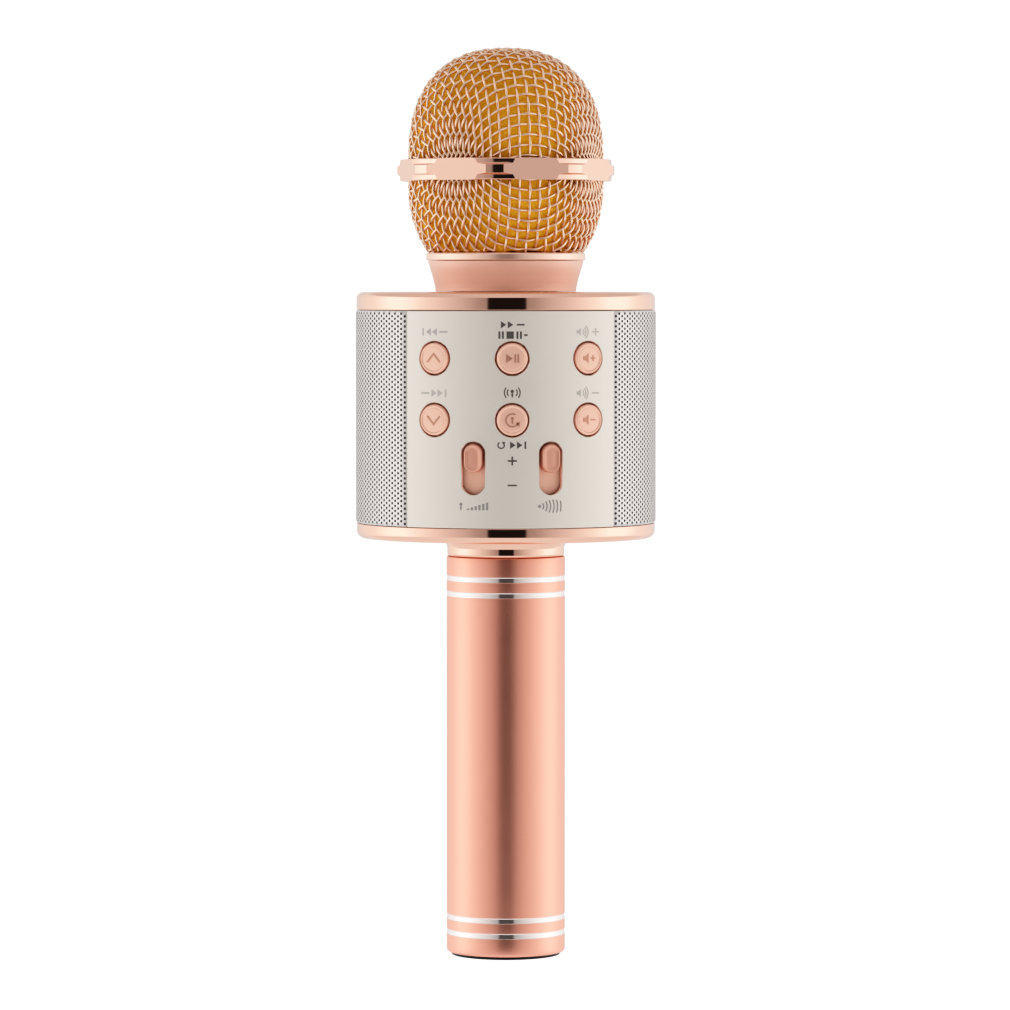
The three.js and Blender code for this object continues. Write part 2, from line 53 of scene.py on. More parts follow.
PANEL_R = 40.25            # outer radius of the drum's panels
PANEL_LOW, PANEL_HIGH = 116.3, 173.1
PANEL_MIDDLE, PANEL_TALL = (PANEL_LOW + PANEL_HIGH) / 2, PANEL_HIGH - PANEL_LOW
PANEL_T, PANEL_EDGE = 1.35, 0.15   # the panels' thickness and the chamfer of their edges
FRONT_HALF = 42.65         # bearing of the front panel's edges
REAR_HALF = 20.0
CAP_R = 40.0
HANDLE_R = 15.9
HEAD_R = 26.3              # the woven head's largest radius
DOME_CENTRE, DOME_HEIGHT, DOME_POWER = 213.4, 29.9, 2.4
BOWL_CENTRE, BOWL_HEIGHT, BOWL_POWER = 205.5, 28.5, 2.0
SEAM_Z = 210.0             # where the head's two halves meet
WIRE_R = 0.35
WEAVE = 2.75               # distance between neighbouring wires
WEAVE_BEARING = 12.0        # where a straight wire of the weave runs down the head
BUTTON_R, BUTTON_HOLE, BUTTON_SIDE = 4.05, 4.5, 30.15
BUTTON_ROWS, SIGN_ROWS = (160.7, 144.6), (167.6, 151.6)
SLOT_BEARING, SLOT_Z, SLOT_W, SLOT_H, SLOT_TRAVEL = 14.65, 132.0, 6.3, 13.9, 5.3
REAR_Z = {"charging": 125.5, "jack": 136.0, "lamp": 143.2, "card": 151.4, "switch": 164.4}


# ---- Materials ---------------------------------------------------------------------------------

def shader(name, color, rough, metal=0.0, **sockets):
    """A Principled material and the helpers to build its texture nodes."""
    mat = bpy.data.materials.new(name)
    mat.use_nodes = True
    bsdf = mat.node_tree.nodes["Principled BSDF"]
    bsdf.inputs["Base Color"].default_value = (*color, 1)
    bsdf.inputs["Roughness"].default_value = rough
    bsdf.inputs["Metallic"].default_value = metal
    for socket, value in sockets.items():
        bsdf.inputs[socket.replace("_", " ")].default_value = value
    mat.diffuse_color = (*color, 1)
    return mat, bsdf


def node(owner, kind, links=(), **values):
    """A shader node of a material or world; links are (input, from_node, output)."""
    made = owner.node_tree.nodes.new(kind)
    for key, value in values.items():
        if key in made.inputs:
            made.inputs[key].default_value = value
        else:
            setattr(made, key, value)
    for into, source, out in links:
        owner.node_tree.links.new(source.outputs[out], made.inputs[into])
    return made


def texture(mat, kind, scale, **values):
    """A texture in object coordinates; scale is in waves per millimetre, for all axes or for each."""
    scales = [scale] * 3 if isinstance(scale, (int, float)) else scale
    coord = node(mat, "ShaderNodeTexCoord")
    mapping = node(mat, "ShaderNodeMapping", [("Vector", coord, "Object")],
                   Scale=[s / MM for s in scales])
    return node(mat, kind, [("Vector", mapping, "Vector")], Scale=1.0, **values)


def bump(mat, bsdf, height, out, strength, distance_mm, chain=None):
    made = node(mat, "ShaderNodeBump", [("Height", height, out)], Strength=strength,
                Distance=distance_mm * MM)
    if chain:
        mat.node_tree.links.new(chain.outputs["Normal"], made.inputs["Normal"])
    mat.node_tree.links.new(made.outputs["Normal"], bsdf.inputs["Normal"])
    return made


def vary_roughness(mat, bsdf, source, low, high):
    ramp = node(mat, "ShaderNodeMapRange", [("Value", source, "Fac")],
                **{"To Min": low, "To Max": high})
    mat.node_tree.links.new(ramp.outputs["Result"], bsdf.inputs["Roughness"])


def vary_colour(mat, bsdf, source, out, dark, light):
    mix = node(mat, "ShaderNodeMix", [("Factor", source, out)], data_type="RGBA")
    mix.inputs[6].default_value = (*dark, 1)
    mix.inputs[7].default_value = (*light, 1)
    mat.node_tree.links.new(mix.outputs[2], bsdf.inputs["Base Color"])


def metal(name, color, rough, grain=0.0, grain_scale=3, cloud=0.02, tint=0.04, **sockets):
    """A plated or anodised metal: cloudy roughness, a faint drift of tint and a fine grain."""
    mat, bsdf = shader(name, color, rough, 1.0, **sockets)
    clouds = texture(mat, "ShaderNodeTexNoise", 0.12, Detail=4.0)
    vary_roughness(mat, bsdf, clouds, max(0.02, rough - cloud), rough + cloud)
    vary_colour(mat, bsdf, clouds, "Fac", [c * (1 - tint) for c in color], color)
    if grain:
        fine = texture(mat, "ShaderNodeTexNoise", grain_scale, Detail=2.0)
        bump(mat, bsdf, fine, "Fac", grain, 0.02)
    return mat


def plastic(name, color, rough, grain=0.15, scale=2.5):
    """Moulded plastic or rubber: spark-eroded texture and slightly uneven gloss."""
    mat, bsdf = shader(name, color, rough)
    fine = texture(mat, "ShaderNodeTexNoise", scale, Detail=3.0)
    bump(mat, bsdf, fine, "Fac", grain, 0.03)
    broad = texture(mat, "ShaderNodeTexNoise", 0.2, Detail=2.0)
    vary_roughness(mat, bsdf, broad, rough - 0.06, rough + 0.06)
    vary_colour(mat, bsdf, broad, "Fac", [c * 0.82 for c in color], color)
    return mat


def foam_material():
    """Open-cell foam: pores from a cell texture, with painted shade that darkens the pores where they
    sink.
    """
    mat, bsdf = shader("foam_golden", (0.93, 0.54, 0.052), 0.95)
    cells = texture(mat, "ShaderNodeTexVoronoi", 1.7)
    # painted shade: the colour goes darker towards each cell's middle, where the bump sinks the pores
    vary_colour(mat, bsdf, cells, "Distance", (0.83, 0.43, 0.03), (1.0, 0.63, 0.08))
    fibre = texture(mat, "ShaderNodeTexNoise", 2.2, Detail=5.0)
    pores = bump(mat, bsdf, cells, "Distance", 0.7, 0.2)
    bump(mat, bsdf, fibre, "Fac", 0.4, 0.1, pores)
    return mat


def board_material():
    """Solder mask over copper tracks."""
    mat, bsdf = shader("solder_mask", (0.02, 0.15, 0.06), 0.32)
    tracks = texture(mat, "ShaderNodeTexBrick", 0.5, Color1=(0.015, 0.12, 0.045, 1),
                     Color2=(0.02, 0.14, 0.055, 1), Mortar=(0.05, 0.24, 0.09, 1))
    mat.node_tree.links.new(tracks.outputs["Color"], bsdf.inputs["Base Color"])
    bump(mat, bsdf, tracks, "Fac", 0.4, 0.03)
    return mat


PAINT = {
    "rose_gloss": metal("rose_gold_polished", (0.935, 0.60, 0.485), 0.07, tint=0.03),
    "rose_satin": metal("rose_gold_satin", (0.97, 0.485, 0.38), 0.31, grain=0.35, grain_scale=6,
                        Metallic=0.9),
    "rose_neck": metal("rose_gold_neck", (1.0, 0.67, 0.565), 0.40, grain=0.25, grain_scale=6,
                       Metallic=0.4),
    "rose_bead": metal("rose_gold_bead", (0.99, 0.69, 0.57), 0.3, grain=0.15, grain_scale=6,
                       Metallic=0.75),
    "rose_key": metal("rose_gold_key", (0.89, 0.565, 0.455), 0.46, grain=0.1, grain_scale=5,
                      Metallic=0.45),
    "rose_knob": metal("rose_gold_knob", (0.72, 0.40, 0.31), 0.42, grain=0.1, grain_scale=5,
                       Metallic=0.55),
    # the shutter: the knob's rose gold painted lighter, as painted light that offsets the shade in the
    # slot
    "rose_shutter_painted_light": metal("rose_gold_shutter_painted_light", (0.86, 0.56, 0.445), 0.5, grain=0.1, grain_scale=5,
                          Metallic=0.35),
    # the key signs: the keys' rose gold painted darker, as painted shade that stands in for engraved
    # recesses
    "rose_icon": metal("rose_gold_engraving_painted_shade", (0.56, 0.31, 0.23), 0.4, Metallic=0.5),
    "wire": metal("rose_gold_wire", (1.0, 0.735, 0.59), 0.22, cloud=0.05, tint=0.12, Metallic=0.92),
    "band": metal("bright_cut_band", (0.95, 0.86, 0.83), 0.1, grain=0.3, grain_scale=(0.2, 0.2, 9),
                  Metallic=0.9),
    "panel": metal("champagne_panel", (0.75, 0.70, 0.638), 0.52, grain=0.1, grain_scale=(7, 7,
                   0.4), tint=0.03, Metallic=0.6),
    "grille": metal("perforated_silver", (0.71, 0.675, 0.655), 0.44, grain=0.15, grain_scale=4),
    "cloth": plastic("dust_cloth", (0.52, 0.49, 0.475), 0.9, grain=0.6, scale=3),
    "steel": metal("bright_steel", (0.62, 0.62, 0.62), 0.28, grain=0.2, grain_scale=3),
    "dark_steel": metal("dark_steel", (0.22, 0.22, 0.23), 0.4),
    "foam": foam_material(),
    "print_pale": plastic("pale_print", (0.50, 0.47, 0.445), 0.6, grain=0.05),
    "print": plastic("grey_print", (0.32, 0.30, 0.285), 0.6, grain=0.05),
    "print_dark": plastic("dark_print", (0.12, 0.108, 0.10), 0.6, grain=0.05),
    "black": plastic("black_plastic", (0.012, 0.012, 0.013), 0.45),
    "rubber": plastic("black_rubber", (0.014, 0.013, 0.013), 0.8, grain=0.3),
    "grey": plastic("grey_plastic", (0.07, 0.07, 0.07), 0.55),
    "paper": plastic("speaker_paper", (0.02, 0.019, 0.018), 0.9, grain=0.5, scale=4),
    "wrap": plastic("cell_film", (0.02, 0.12, 0.32), 0.3, grain=0.05),
    "board": board_material(),
    "lens": shader("lamp_lens", (0.9, 0.95, 1.0), 0.08, 0.0, Transmission_Weight=0.7, IOR=1.49)[0],
}


# ---- Mesh helpers ------------------------------------------------------------------------------

def add_piece(name, verts, faces, paint, body, slot, replaces=(), sharp=30, face_paint=None,
              second=None):
    """One visible piece: a smooth-shaded mesh in millimetres that rides on a CAD body."""
    mesh = bpy.data.meshes.new(name)
    mesh.from_pydata([Vector(v) * MM for v in verts], [], faces)
    mesh.materials.append(PAINT[paint])
    if second:
        mesh.materials.append(PAINT[second])
        mesh.polygons.foreach_set("material_index", face_paint)
    mesh.validate()
    made = bpy.data.objects.new(name, mesh)
    bpy.context.scene.collection.objects.link(made)
    mesh.polygons.foreach_set("use_smooth", [True] * len(mesh.polygons))
    mesh.set_sharp_from_angle(angle=radians(sharp))
    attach(made, body)
    if replaces:
        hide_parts(*replaces)
    return made


def add_fine(node_name, shape, paint, slot, body="housing", **options):
    """The piece that takes the place of one CAD node."""
    return add_piece(f"{node_name}_fine", *shape, paint, body, slot, [node_name], **options)


def rounded(corners, steps=6, closed=True):
    """A path through (x, y, fillet) corners, with each fillet as a true arc."""
    path = []
    count = len(corners)
    for i, (x, y, fillet) in enumerate(corners):
        here = Vector((x, y))
        if not fillet or (not closed and i in (0, count - 1)):
            path.append((x, y))
            continue
        before = Vector(corners[i - 1][:2]) - here
        after = Vector(corners[(i + 1) % count][:2]) - here
        half = before.angle(after) / 2
        reach = min(fillet / max(1e-6, abs(sin(half) / cos(half))),
                    0.49 * before.length, 0.49 * after.length)
        radius = reach * sin(half) / cos(half)
        start = here + before.normalized() * reach
        end = here + after.normalized() * reach
        centre = here + (before.normalized() + after.normalized()).normalized() * (radius / sin(half))
        a0 = atan2(start.y - centre.y, start.x - centre.x)
        a1 = atan2(end.y - centre.y, end.x - centre.x)
        turn = (a1 - a0 + pi) % tau - pi
        for k in range(steps + 1):
            a = a0 + turn * k / steps
            path.append((centre.x + radius * cos(a), centre.y + radius * sin(a)))
    return path


def lathe(path, sides, closed=True):
    """Turns an outline of (radius, height) about Z. An open outline starts and ends on the axis."""
    if sum(a[0] * b[1] - b[0] * a[1] for a, b in zip(path, path[1:] + path[:1])) < 0:
        path = path[::-1]
    verts, rings = [], []
    for r, z in path:
        if r < 1e-6:
            rings.append([len(verts)] * sides)
            verts.append((0, 0, z))
            continue
        rings.append(list(range(len(verts), len(verts) + sides)))
        verts += [(r * cos(tau * k / sides), r * sin(tau * k / sides), z) for k in range(sides)]
    pairs = list(zip(rings, rings[1:] + rings[:1])) if closed else list(zip(rings, rings[1:]))
    faces = []
    for low, high in pairs:
        for k in range(sides):
            n = (k + 1) % sides
            quad = [low[k], low[n], high[n], high[k]]
            face = [v for i, v in enumerate(quad) if v != quad[i - 1]]
            if len(face) > 2:
                faces.append(face)
    return verts, faces


def outward(bearing, height):
    """Local +Z points out of the drum at a bearing, local +Y is up, local +X is to the right."""
    a = radians(bearing)
    across, up, out = Vector((cos(a), sin(a), 0)), Vector((0, 0, 1)), Vector((sin(a), -cos(a), 0))
    made = Matrix((across, up, out)).transposed().to_4x4()
    made.translation = (0, 0, height)
    return made


def placed(verts, matrix):
    return [tuple(matrix @ Vector(v)) for v in verts]


def on_drum(u, v, depth, bearing=0.0):
    """Wraps a flat point, u along the drum's surface and v up, at a depth under the surface."""
    a = radians(bearing) + u / PANEL_R
    r = PANEL_R - depth
    return (r * sin(a), -r * cos(a), v)


def boundary(faces):
    """The directed edges that belong to one face only, in the order they are met."""
    rim = {}
    for face in faces:
        for a, b in zip(face, face[1:] + face[:1]):
            if (b, a) in rim:
                del rim[(b, a)]
            else:
                rim[(a, b)] = True
    return list(rim)


def thicken(points, faces, place, thickness, real=None, bevel=0.0):
    """Closes a flat face set into a plate. place(u, v, depth) puts each point in space.

    real moves the points of the rims outwards below the bevel, so the plate's edges are chamfered.
    """
    real = real or {}
    rim = boundary(faces)
    edge_points = sorted({i for pair in rim for i in pair})
    verts = [place(u, v, 0.0) for u, v in points]
    back = {}
    for i, (u, v) in enumerate(points):
        back[i] = len(verts)
        verts.append(place(*real.get(i, (u, v)), thickness))
    middle = {}
    if bevel:
        for i in edge_points:
            middle[i] = len(verts)
            verts.append(place(*real.get(i, points[i]), bevel))
    made = [list(face) for face in faces]
    made += [[back[i] for i in reversed(face)] for face in faces]
    for a, b in rim:
        if bevel:
            made.append([b, a, middle[a], middle[b]])
            made.append([middle[b], middle[a], back[a], back[b]])
        else:
            made.append([b, a, back[a], back[b]])
    return verts, made


def circle_loop(u, v, radius, count=48):
    return [(u + radius * cos(tau * k / count), v + radius * sin(tau * k / count))
            for k in range(count)]


def pill_loop(u, v, width, height, count=48):
    """An upright slot outline with round ends, counter-clockwise."""
    radius, straight = width / 2, (height - width) / 2
    loop = []
    for k in range(count):
        a = tau * (k + 0.5) / count
        lift = straight if sin(a) > 0 else -straight
        loop.append((u + radius * cos(a), v + radius * sin(a) + lift))
    return loop


def pill_ring(station, width, height, r, lift=0.0, count=48):
    """A slot outline in space at a distance from the drum's axis."""
    loop = pill_loop(0, 0, width, height, count)
    return [tuple(station @ Vector((x, y + lift, r))) for x, y in loop]


def growing_pill(u, v, width, height):
    return lambda grow: pill_loop(u, v, width + 2 * grow, height + 2 * grow)


def growing_circle(u, v, radius, count=48):
    return lambda grow: circle_loop(u, v, radius + grow, count)


def box_loop(u, v, width, height, corner=0.3, steps=4, spacing=1.4):
    """An oblong with round corners, its long sides cut into short ones so that it can be bent."""
    x, y = width / 2, height / 2
    corners = [(u - x, v - y, corner), (u + x, v - y, corner), (u + x, v + y, corner),
               (u - x, v + y, corner)]
    loop = rounded(corners, steps)
    cut = []
    for (x0, y0), (x1, y1) in zip(loop, loop[1:] + loop[:1]):
        pieces = max(1, round(hypot(x1 - x0, y1 - y0) / spacing))
        cut += [(x0 + (x1 - x0) * k / pieces, y0 + (y1 - y0) * k / pieces) for k in range(pieces)]
    return cut


def inside(point, loop):
    x, y = point
    hit = False
    for (x0, y0), (x1, y1) in zip(loop, loop[1:] + loop[:1]):
        if (y0 > y) != (y1 > y) and x < (x1 - x0) * (y - y0) / (y1 - y0) + x0:
            hit = not hit
    return hit


def pierced(outer, holes, spacing):
    """Triangulates the region inside outer and outside the holes, with a grid of inner points."""
    loops = [outer] + holes
    points, edges = [], []
    for loop in loops:
        first = len(points)
        points += [Vector(p) for p in loop]
        edges += [(first + k, first + (k + 1) % len(loop)) for k in range(len(loop))]
    rim_count = len(points)
    us, vs = [p[0] for p in outer], [p[1] for p in outer]
    columns = int((max(us) - min(us)) / spacing)
    rows = int((max(vs) - min(vs)) / (2 * spacing))
    for i in range(1, columns):
        for j in range(1, rows):
            u = min(us) + (max(us) - min(us)) * i / columns
            v = min(vs) + (max(vs) - min(vs)) * j / rows
            near = min(hypot(p.x - u, p.y - v) for p in points[:rim_count])
            if near > 0.5 * spacing and not any(inside((u, v), hole) for hole in holes):
                points.append(Vector((u, v)))
    flat, _, faces, *_ = geometry.delaunay_2d_cdt(points, edges, [], 1, 1e-5)
    kept = []
    for face in faces:
        centre = (sum(flat[i].x for i in face) / 3, sum(flat[i].y for i in face) / 3)
        if not any(inside(centre, hole) for hole in holes):
            kept.append(list(face))
    return [(p.x, p.y) for p in flat], kept


def chamfered_plate(outer, holes, place, thickness, bevel, spacing=1.4):
    """outer(grow) and each hole(grow) give a loop grown by a distance; the top edges are chamfered."""
    top_loops = [outer(-bevel)] + [hole(bevel) for hole in holes]
    real_loops = [outer(0)] + [hole(0) for hole in holes]
    points, faces = pierced(top_loops[0], top_loops[1:], spacing)
    real = {}
    lookup = {(round(p[0], 4), round(p[1], 4)): q
              for top, base in zip(top_loops, real_loops) for p, q in zip(top, base)}
    for i, (u, v) in enumerate(points):
        match = lookup.get((round(u, 4), round(v, 4)))
        if match:
            real[i] = match
    return thicken(points, faces, place, thickness, real, bevel)


def loft(loops, close=True):
    """Skins closed loops of equal length; close joins the last loop to the first, or caps the ends."""
    count = len(loops[0])
    verts = [p for loop in loops for p in loop]
    faces = []
    pairs = list(zip(range(len(loops)), list(range(1, len(loops))) + [0]))
    for a, b in (pairs if close else pairs[:-1]):
        for k in range(count):
            n = (k + 1) % count
            faces.append([a * count + k, a * count + n, b * count + n, b * count + k])
    if not close:
        faces.append([k for k in reversed(range(count))])
        faces.append([(len(loops) - 1) * count + k for k in range(count)])
    return verts, faces


def merged(*parts):
    """Several (verts, faces) sets as one."""
    verts, faces = [], []
    for part_verts, part_faces in parts:
        start = len(verts)
        verts += list(part_verts)
        faces += [[start + i for i in face] for face in part_faces]
    return verts, faces


# ---- Stage -------------------------------------------------------------------------------------

CAMERA_BEARING, CAMERA_DISTANCE, CAMERA_HEIGHT = -2.4, 1450.0, 181.1
CAMERA_TILT, CAMERA_LENS, CAMERA_SHIFT = 2.38, 192.8, -0.0008
DOOR_BEARING, DOOR_HALF, DOOR_TOP, DOOR_SILL = -1.5, 14.6, 21.0, -20.0
WALLS = [(0, 0.03), (14.2, 0.03), (15.2, 0.34), (22, 0.39), (34, 0.54), (46, 0.66), (58, 0.80),
         (72, 0.98), (86, 1.22), (102, 1.22), (122, 0.93), (147, 0.78), (162, 0.66), (180, 0.62)]
CEILING, TABLE, BACKDROP = 0.58, 0.75, 1.05


def make_camera():
    data = bpy.data.cameras.new("camera")
    data.lens = CAMERA_LENS
    data.clip_end = 50
    data.shift_x = CAMERA_SHIFT
    camera = bpy.data.objects.new("camera", data)
    a = radians(CAMERA_BEARING)
    camera.location = Vector((CAMERA_DISTANCE * sin(a), -CAMERA_DISTANCE * cos(a),
                              CAMERA_HEIGHT)) * MM
    camera.rotation_euler = (radians(90 - CAMERA_TILT), 0, a)
    bpy.context.scene.collection.objects.link(camera)
    bpy.context.scene.camera = camera


def make_world():
    """A soft white room as a function of direction, with a dark doorway in front of the object.

    Wall level by bearing from the doorway's middle: dark inside it, then brighter towards the
    two window walls at the sides. The ceiling and the table below are even and dimmer.
    """
    world = bpy.data.worlds.new("studio")
    world.use_nodes = True
    bpy.context.scene.world = world

    def fed(made, *inputs):
        """Each input takes a number, a node's first output or a (node, output) pair."""
        for socket, source in inputs:
            if isinstance(source, (int, float)):
                made.inputs[socket].default_value = source
            else:
                giver, out = source if isinstance(source, tuple) else (source, 0)
                world.node_tree.links.new(giver.outputs[out], made.inputs[socket])
        return made

    def maths(operation, *sources):
        return fed(node(world, "ShaderNodeMath", operation=operation), *enumerate(sources))

    def step(value, low, high):
        made = node(world, "ShaderNodeMapRange", interpolation_type="SMOOTHSTEP")
        return fed(made, ("Value", value), ("From Min", low), ("From Max", high))

    def step_up(middle, half):
        return step(height, sin(radians(middle - half)), sin(radians(middle + half)))

    def mixed(factor, a, b):
        return fed(node(world, "ShaderNodeMix"), ("Factor", factor), ("A", a), ("B", b))

    coord = node(world, "ShaderNodeTexCoord")
    split = node(world, "ShaderNodeSeparateXYZ", [("Vector", coord, "Generated")])
    height = (split, "Z")
    swing = maths("ARCTAN2", (split, "X"), maths("MULTIPLY", (split, "Y"), -1.0))
    turn = maths("ABSOLUTE", maths("ADD", swing, radians(-DOOR_BEARING)))
    ramp = fed(node(world, "ShaderNodeValToRGB"), ("Fac", maths("DIVIDE", turn, pi)))
    points = ramp.color_ramp.elements
    while len(points) < len(WALLS):
        points.new(0.5)
    for point, (angle, level) in zip(points, WALLS):
        point.position = angle / 180
        point.color = (level / 2, level / 2, level / 2, 1)
    walls = maths("MULTIPLY", ramp, 2.0)
    with_ceiling = mixed(step_up(DOOR_TOP + 2, 4), walls, CEILING)
    in_front = step(turn, radians(DOOR_HALF + 8), radians(DOOR_HALF + 2))
    with_lintel = mixed(maths("MULTIPLY", step_up(DOOR_TOP, 1.5), in_front), with_ceiling, CEILING)
    room = mixed(step_up(DOOR_SILL, -1.5), with_lintel, TABLE)
    camera_ray = (node(world, "ShaderNodeLightPath"), "Is Camera Ray")
    background = world.node_tree.nodes["Background"]
    background.inputs["Color"].default_value = (1, 1, 1, 1)
    fed(background, ("Strength", mixed(camera_ray, room, BACKDROP)))


def set_film():
    """A plain display with the gentle contrast of a print: darks a little deeper, lights softer."""
    view = bpy.context.scene.view_settings
    view.view_transform = "Standard"
    view.use_curve_mapping = True
    curve = view.curve_mapping.curves[3]
    gamma, strength = 2.2, 0.8
    for step in range(1, 10):
        tone = step / 10
        pushed = (1 - strength) * tone + strength * (3 - 2 * tone) * tone * tone
        curve.points.new(tone ** gamma, pushed ** gamma)
    view.curve_mapping.update()


def make_floor():
    """A plain white table, lit through from below."""
    mesh = bpy.data.meshes.new("floor")
    half = 6.0
    corners = [(-half, -half, 0), (half, -half, 0), (half, half, 0), (-half, half, 0)]
    mesh.from_pydata(corners, [], [(0, 1, 2, 3)])
    floor = bpy.data.objects.new("floor", mesh)
    bpy.context.scene.collection.objects.link(floor)
    mat, bsdf = shader("pale_floor", (0.5, 0.5, 0.5), 0.8)
    bsdf.inputs["Specular IOR Level"].default_value = 0.0
    bsdf.inputs["Emission Color"].default_value = (1, 1, 1, 1)
    bsdf.inputs["Emission Strength"].default_value = 0.78
    floor.visible_glossy = False
    mesh.materials.append(mat)


make_camera()
make_world()
set_film()
make_floor()


# ---- Handle ------------------------------------------------------------------------------------

BANDS, BAND_W, BAND_DEPTH = (6.4, 10.5, 97.25, 101.4), 1.5, 0.12
TUBE_LOW, TUBE_HIGH, TUBE_BORE = 0.75, 107.2, 14.0


def make_handle():
    corners = [(TUBE_BORE, TUBE_LOW, 0.1), (HANDLE_R, TUBE_LOW, 1.05)]
    for centre in BANDS:
        for edge, depth in ((-0.72, 0), (-0.66, BAND_DEPTH), (0.52, BAND_DEPTH), (0.72, 0)):
            corners.append((HANDLE_R - depth, centre + edge, 0.03))
    corners += [(HANDLE_R, TUBE_HIGH, 0.25), (TUBE_BORE, TUBE_HIGH, 0.1)]
    verts, faces = lathe(rounded(corners, 3), 160)
    in_band = []
    for face in faces:
        z = sum(verts[i][2] for i in face) / len(face)
        outside = hypot(*verts[face[0]][:2]) > TUBE_BORE + 1
        in_band.append(int(outside and any(abs(z - centre) < BAND_W / 2 for centre in BANDS)))
    add_fine("handle_tube", (verts, faces), "rose_satin", "rose_gold_satin", sharp=24,
             face_paint=in_band, second="band")


def make_end_cap():
    corners = [(3.3, 0.0, 0.2), (14.6, 0.0, 0.4), (14.6, 0.65, 0.05), (13.7, 0.65, 0), (13.7, 8, 0.3),
               (11.7, 8, 0.2), (11.7, 3, 0.3), (1.6, 3, 0), (1.6, 1.5, 0), (3.3, 1.5, 0.1)]
    add_fine("end_cap", lathe(rounded(corners, 4), 96), "black", "black_plastic")


def make_screw():
    """Pan head with a cross recess."""
    cross, quarter = [], [(1.7, -0.36), (1.7, 0.36), (0.36, 0.36)]
    for _ in range(4):
        cross += quarter
        quarter = [(-y, x) for x, y in quarter]
    points, faces = pierced(circle_loop(0, 0, 2.55), [cross[::-1]], 0.9)
    plate = thicken(points, faces, lambda u, v, d: (u, -v, 0.42 + d), 0.7)
    shank = lathe([(0, 1.12), (2.75, 1.12), (2.75, 1.4), (1.2, 1.4), (1.2, 12), (0, 12)], 32,
                  closed=False)
    rim = lathe(rounded([(2.56, 0.44, 0), (2.9, 0.75, 0.15), (2.9, 1.35, 0), (2.56, 1.35, 0)], 3), 48)
    add_fine("end_cap_screw", merged(plate, shank, rim), "steel", "plated_steel")


def make_trim_ring_under():
    corners = [(11.4, 107.3, 0), (15.45, 107.3, 0.1), (15.75, 107.95, 0.3), (15.75, 109.6, 0.2),
               (15.9, 110.1, 0.6), (16.5, 111.25, 0.1), (11.4, 111.25, 0)]
    add_fine("handle_trim_ring", lathe(rounded(corners, 6), 160), "rose_gloss", "rose_gold_gloss")


# ---- Drum --------------------------------------------------------------------------------------

def make_caps():
    low = [(11.4, 111.35, 0), (17.0, 111.35, 0.2), (CAP_R, 112.25, 2.0), (CAP_R, 116.2, 0.25),
           (38.6, 116.2, 0), (38.6, 114.7, 0.5), (36.4, 113.4, 0.5), (18, 112.5, 0), (11.4, 112.5, 0)]
    high = [(38.6, 173.2, 0), (CAP_R, 173.2, 0.25), (CAP_R, 177.9, 2.7), (36.5, 178.0, 0.3),
            (14.3, 178.0, 0), (14.3, 176.6, 0), (37.0, 176.6, 0.5), (38.6, 175.1, 0.5)]
    for name, corners in (("bottom_cap", low), ("top_cap", high)):
        add_fine(name, lathe(rounded(corners, 8), 256), "rose_gloss", "rose_gold_gloss")


KEYS = [("previous", -1, 0), ("next", -1, 1), ("play_pause", 0, 0), ("replay", 0, 1),
        ("volume_up", 1, 0), ("volume_down", 1, 1)]


def arc(bearing):
    """Distance along the drum's surface from the middle of the panel."""
    return radians(bearing) * PANEL_R


def panel_outline(half):
    """The growing outline of a panel that reaches to a bearing on both sides."""
    wide = 2 * arc(half)
    return lambda grow: box_loop(0, PANEL_MIDDLE, wide + 2 * grow, PANEL_TALL + 2 * grow, 0.4)


def make_front_panel():
    holes = [growing_circle(arc(column * BUTTON_SIDE), BUTTON_ROWS[row], BUTTON_HOLE)
             for _, column, row in KEYS]
    holes += [growing_pill(arc(side * SLOT_BEARING), SLOT_Z, SLOT_W, SLOT_H) for side in (-1, 1)]
    verts, faces = chamfered_plate(panel_outline(FRONT_HALF), holes, on_drum, PANEL_T, PANEL_EDGE)
    lined = [int(is_opening_wall(verts, face)) for face in faces]
    add_fine("front_panel", (verts, faces), "panel", "panel_metal", face_paint=lined,
             second="rose_neck")


def is_opening_wall(verts, face):
    """Tells the walls of the key holes and slots, which are plated rose, from the panel's edges."""
    x, y, z = (sum(verts[i][k] for i in face) / len(face) for k in range(3))
    depth = PANEL_R - hypot(x, y)
    from_ends = min(z - PANEL_LOW, PANEL_HIGH - z)
    return 0.3 < depth < 1.2 and from_ends > 1 and abs(degrees(atan2(x, -y))) < FRONT_HALF - 1


def make_rear_panel():
    holes = [growing_pill(0, REAR_Z["charging"], 3.4, 8.4), growing_circle(0, REAR_Z["jack"], 3.3),
             growing_circle(0, REAR_Z["lamp"], 1.2, 24), growing_pill(0, REAR_Z["card"], 2.2, 12.4),
             growing_pill(0, REAR_Z["switch"], 4.2, 8.6)]
    shape = chamfered_plate(panel_outline(REAR_HALF), holes,
                            lambda u, v, d: on_drum(u, v, d, 180), PANEL_T, PANEL_EDGE)
    add_fine("rear_panel", shape, "panel", "panel_metal")


HOLE_PITCH = 1.33
HOLE_R = 0.36
HOLE_COLUMN = HOLE_PITCH * sqrt(3) / 2
HOLE_MARGIN = 0.16         # metal left between an outer hole and the sheet's edge
GRILLE_GAP, GRILLE_T = 0.45, 0.4
ROLLED, ROLL_DEPTH = 1.9, 0.42   # width of the sheet's rolled side edges, and how far they dip
TUCKED, TUCK_DEPTH = 0.8, 0.3    # the same for its edges under the caps


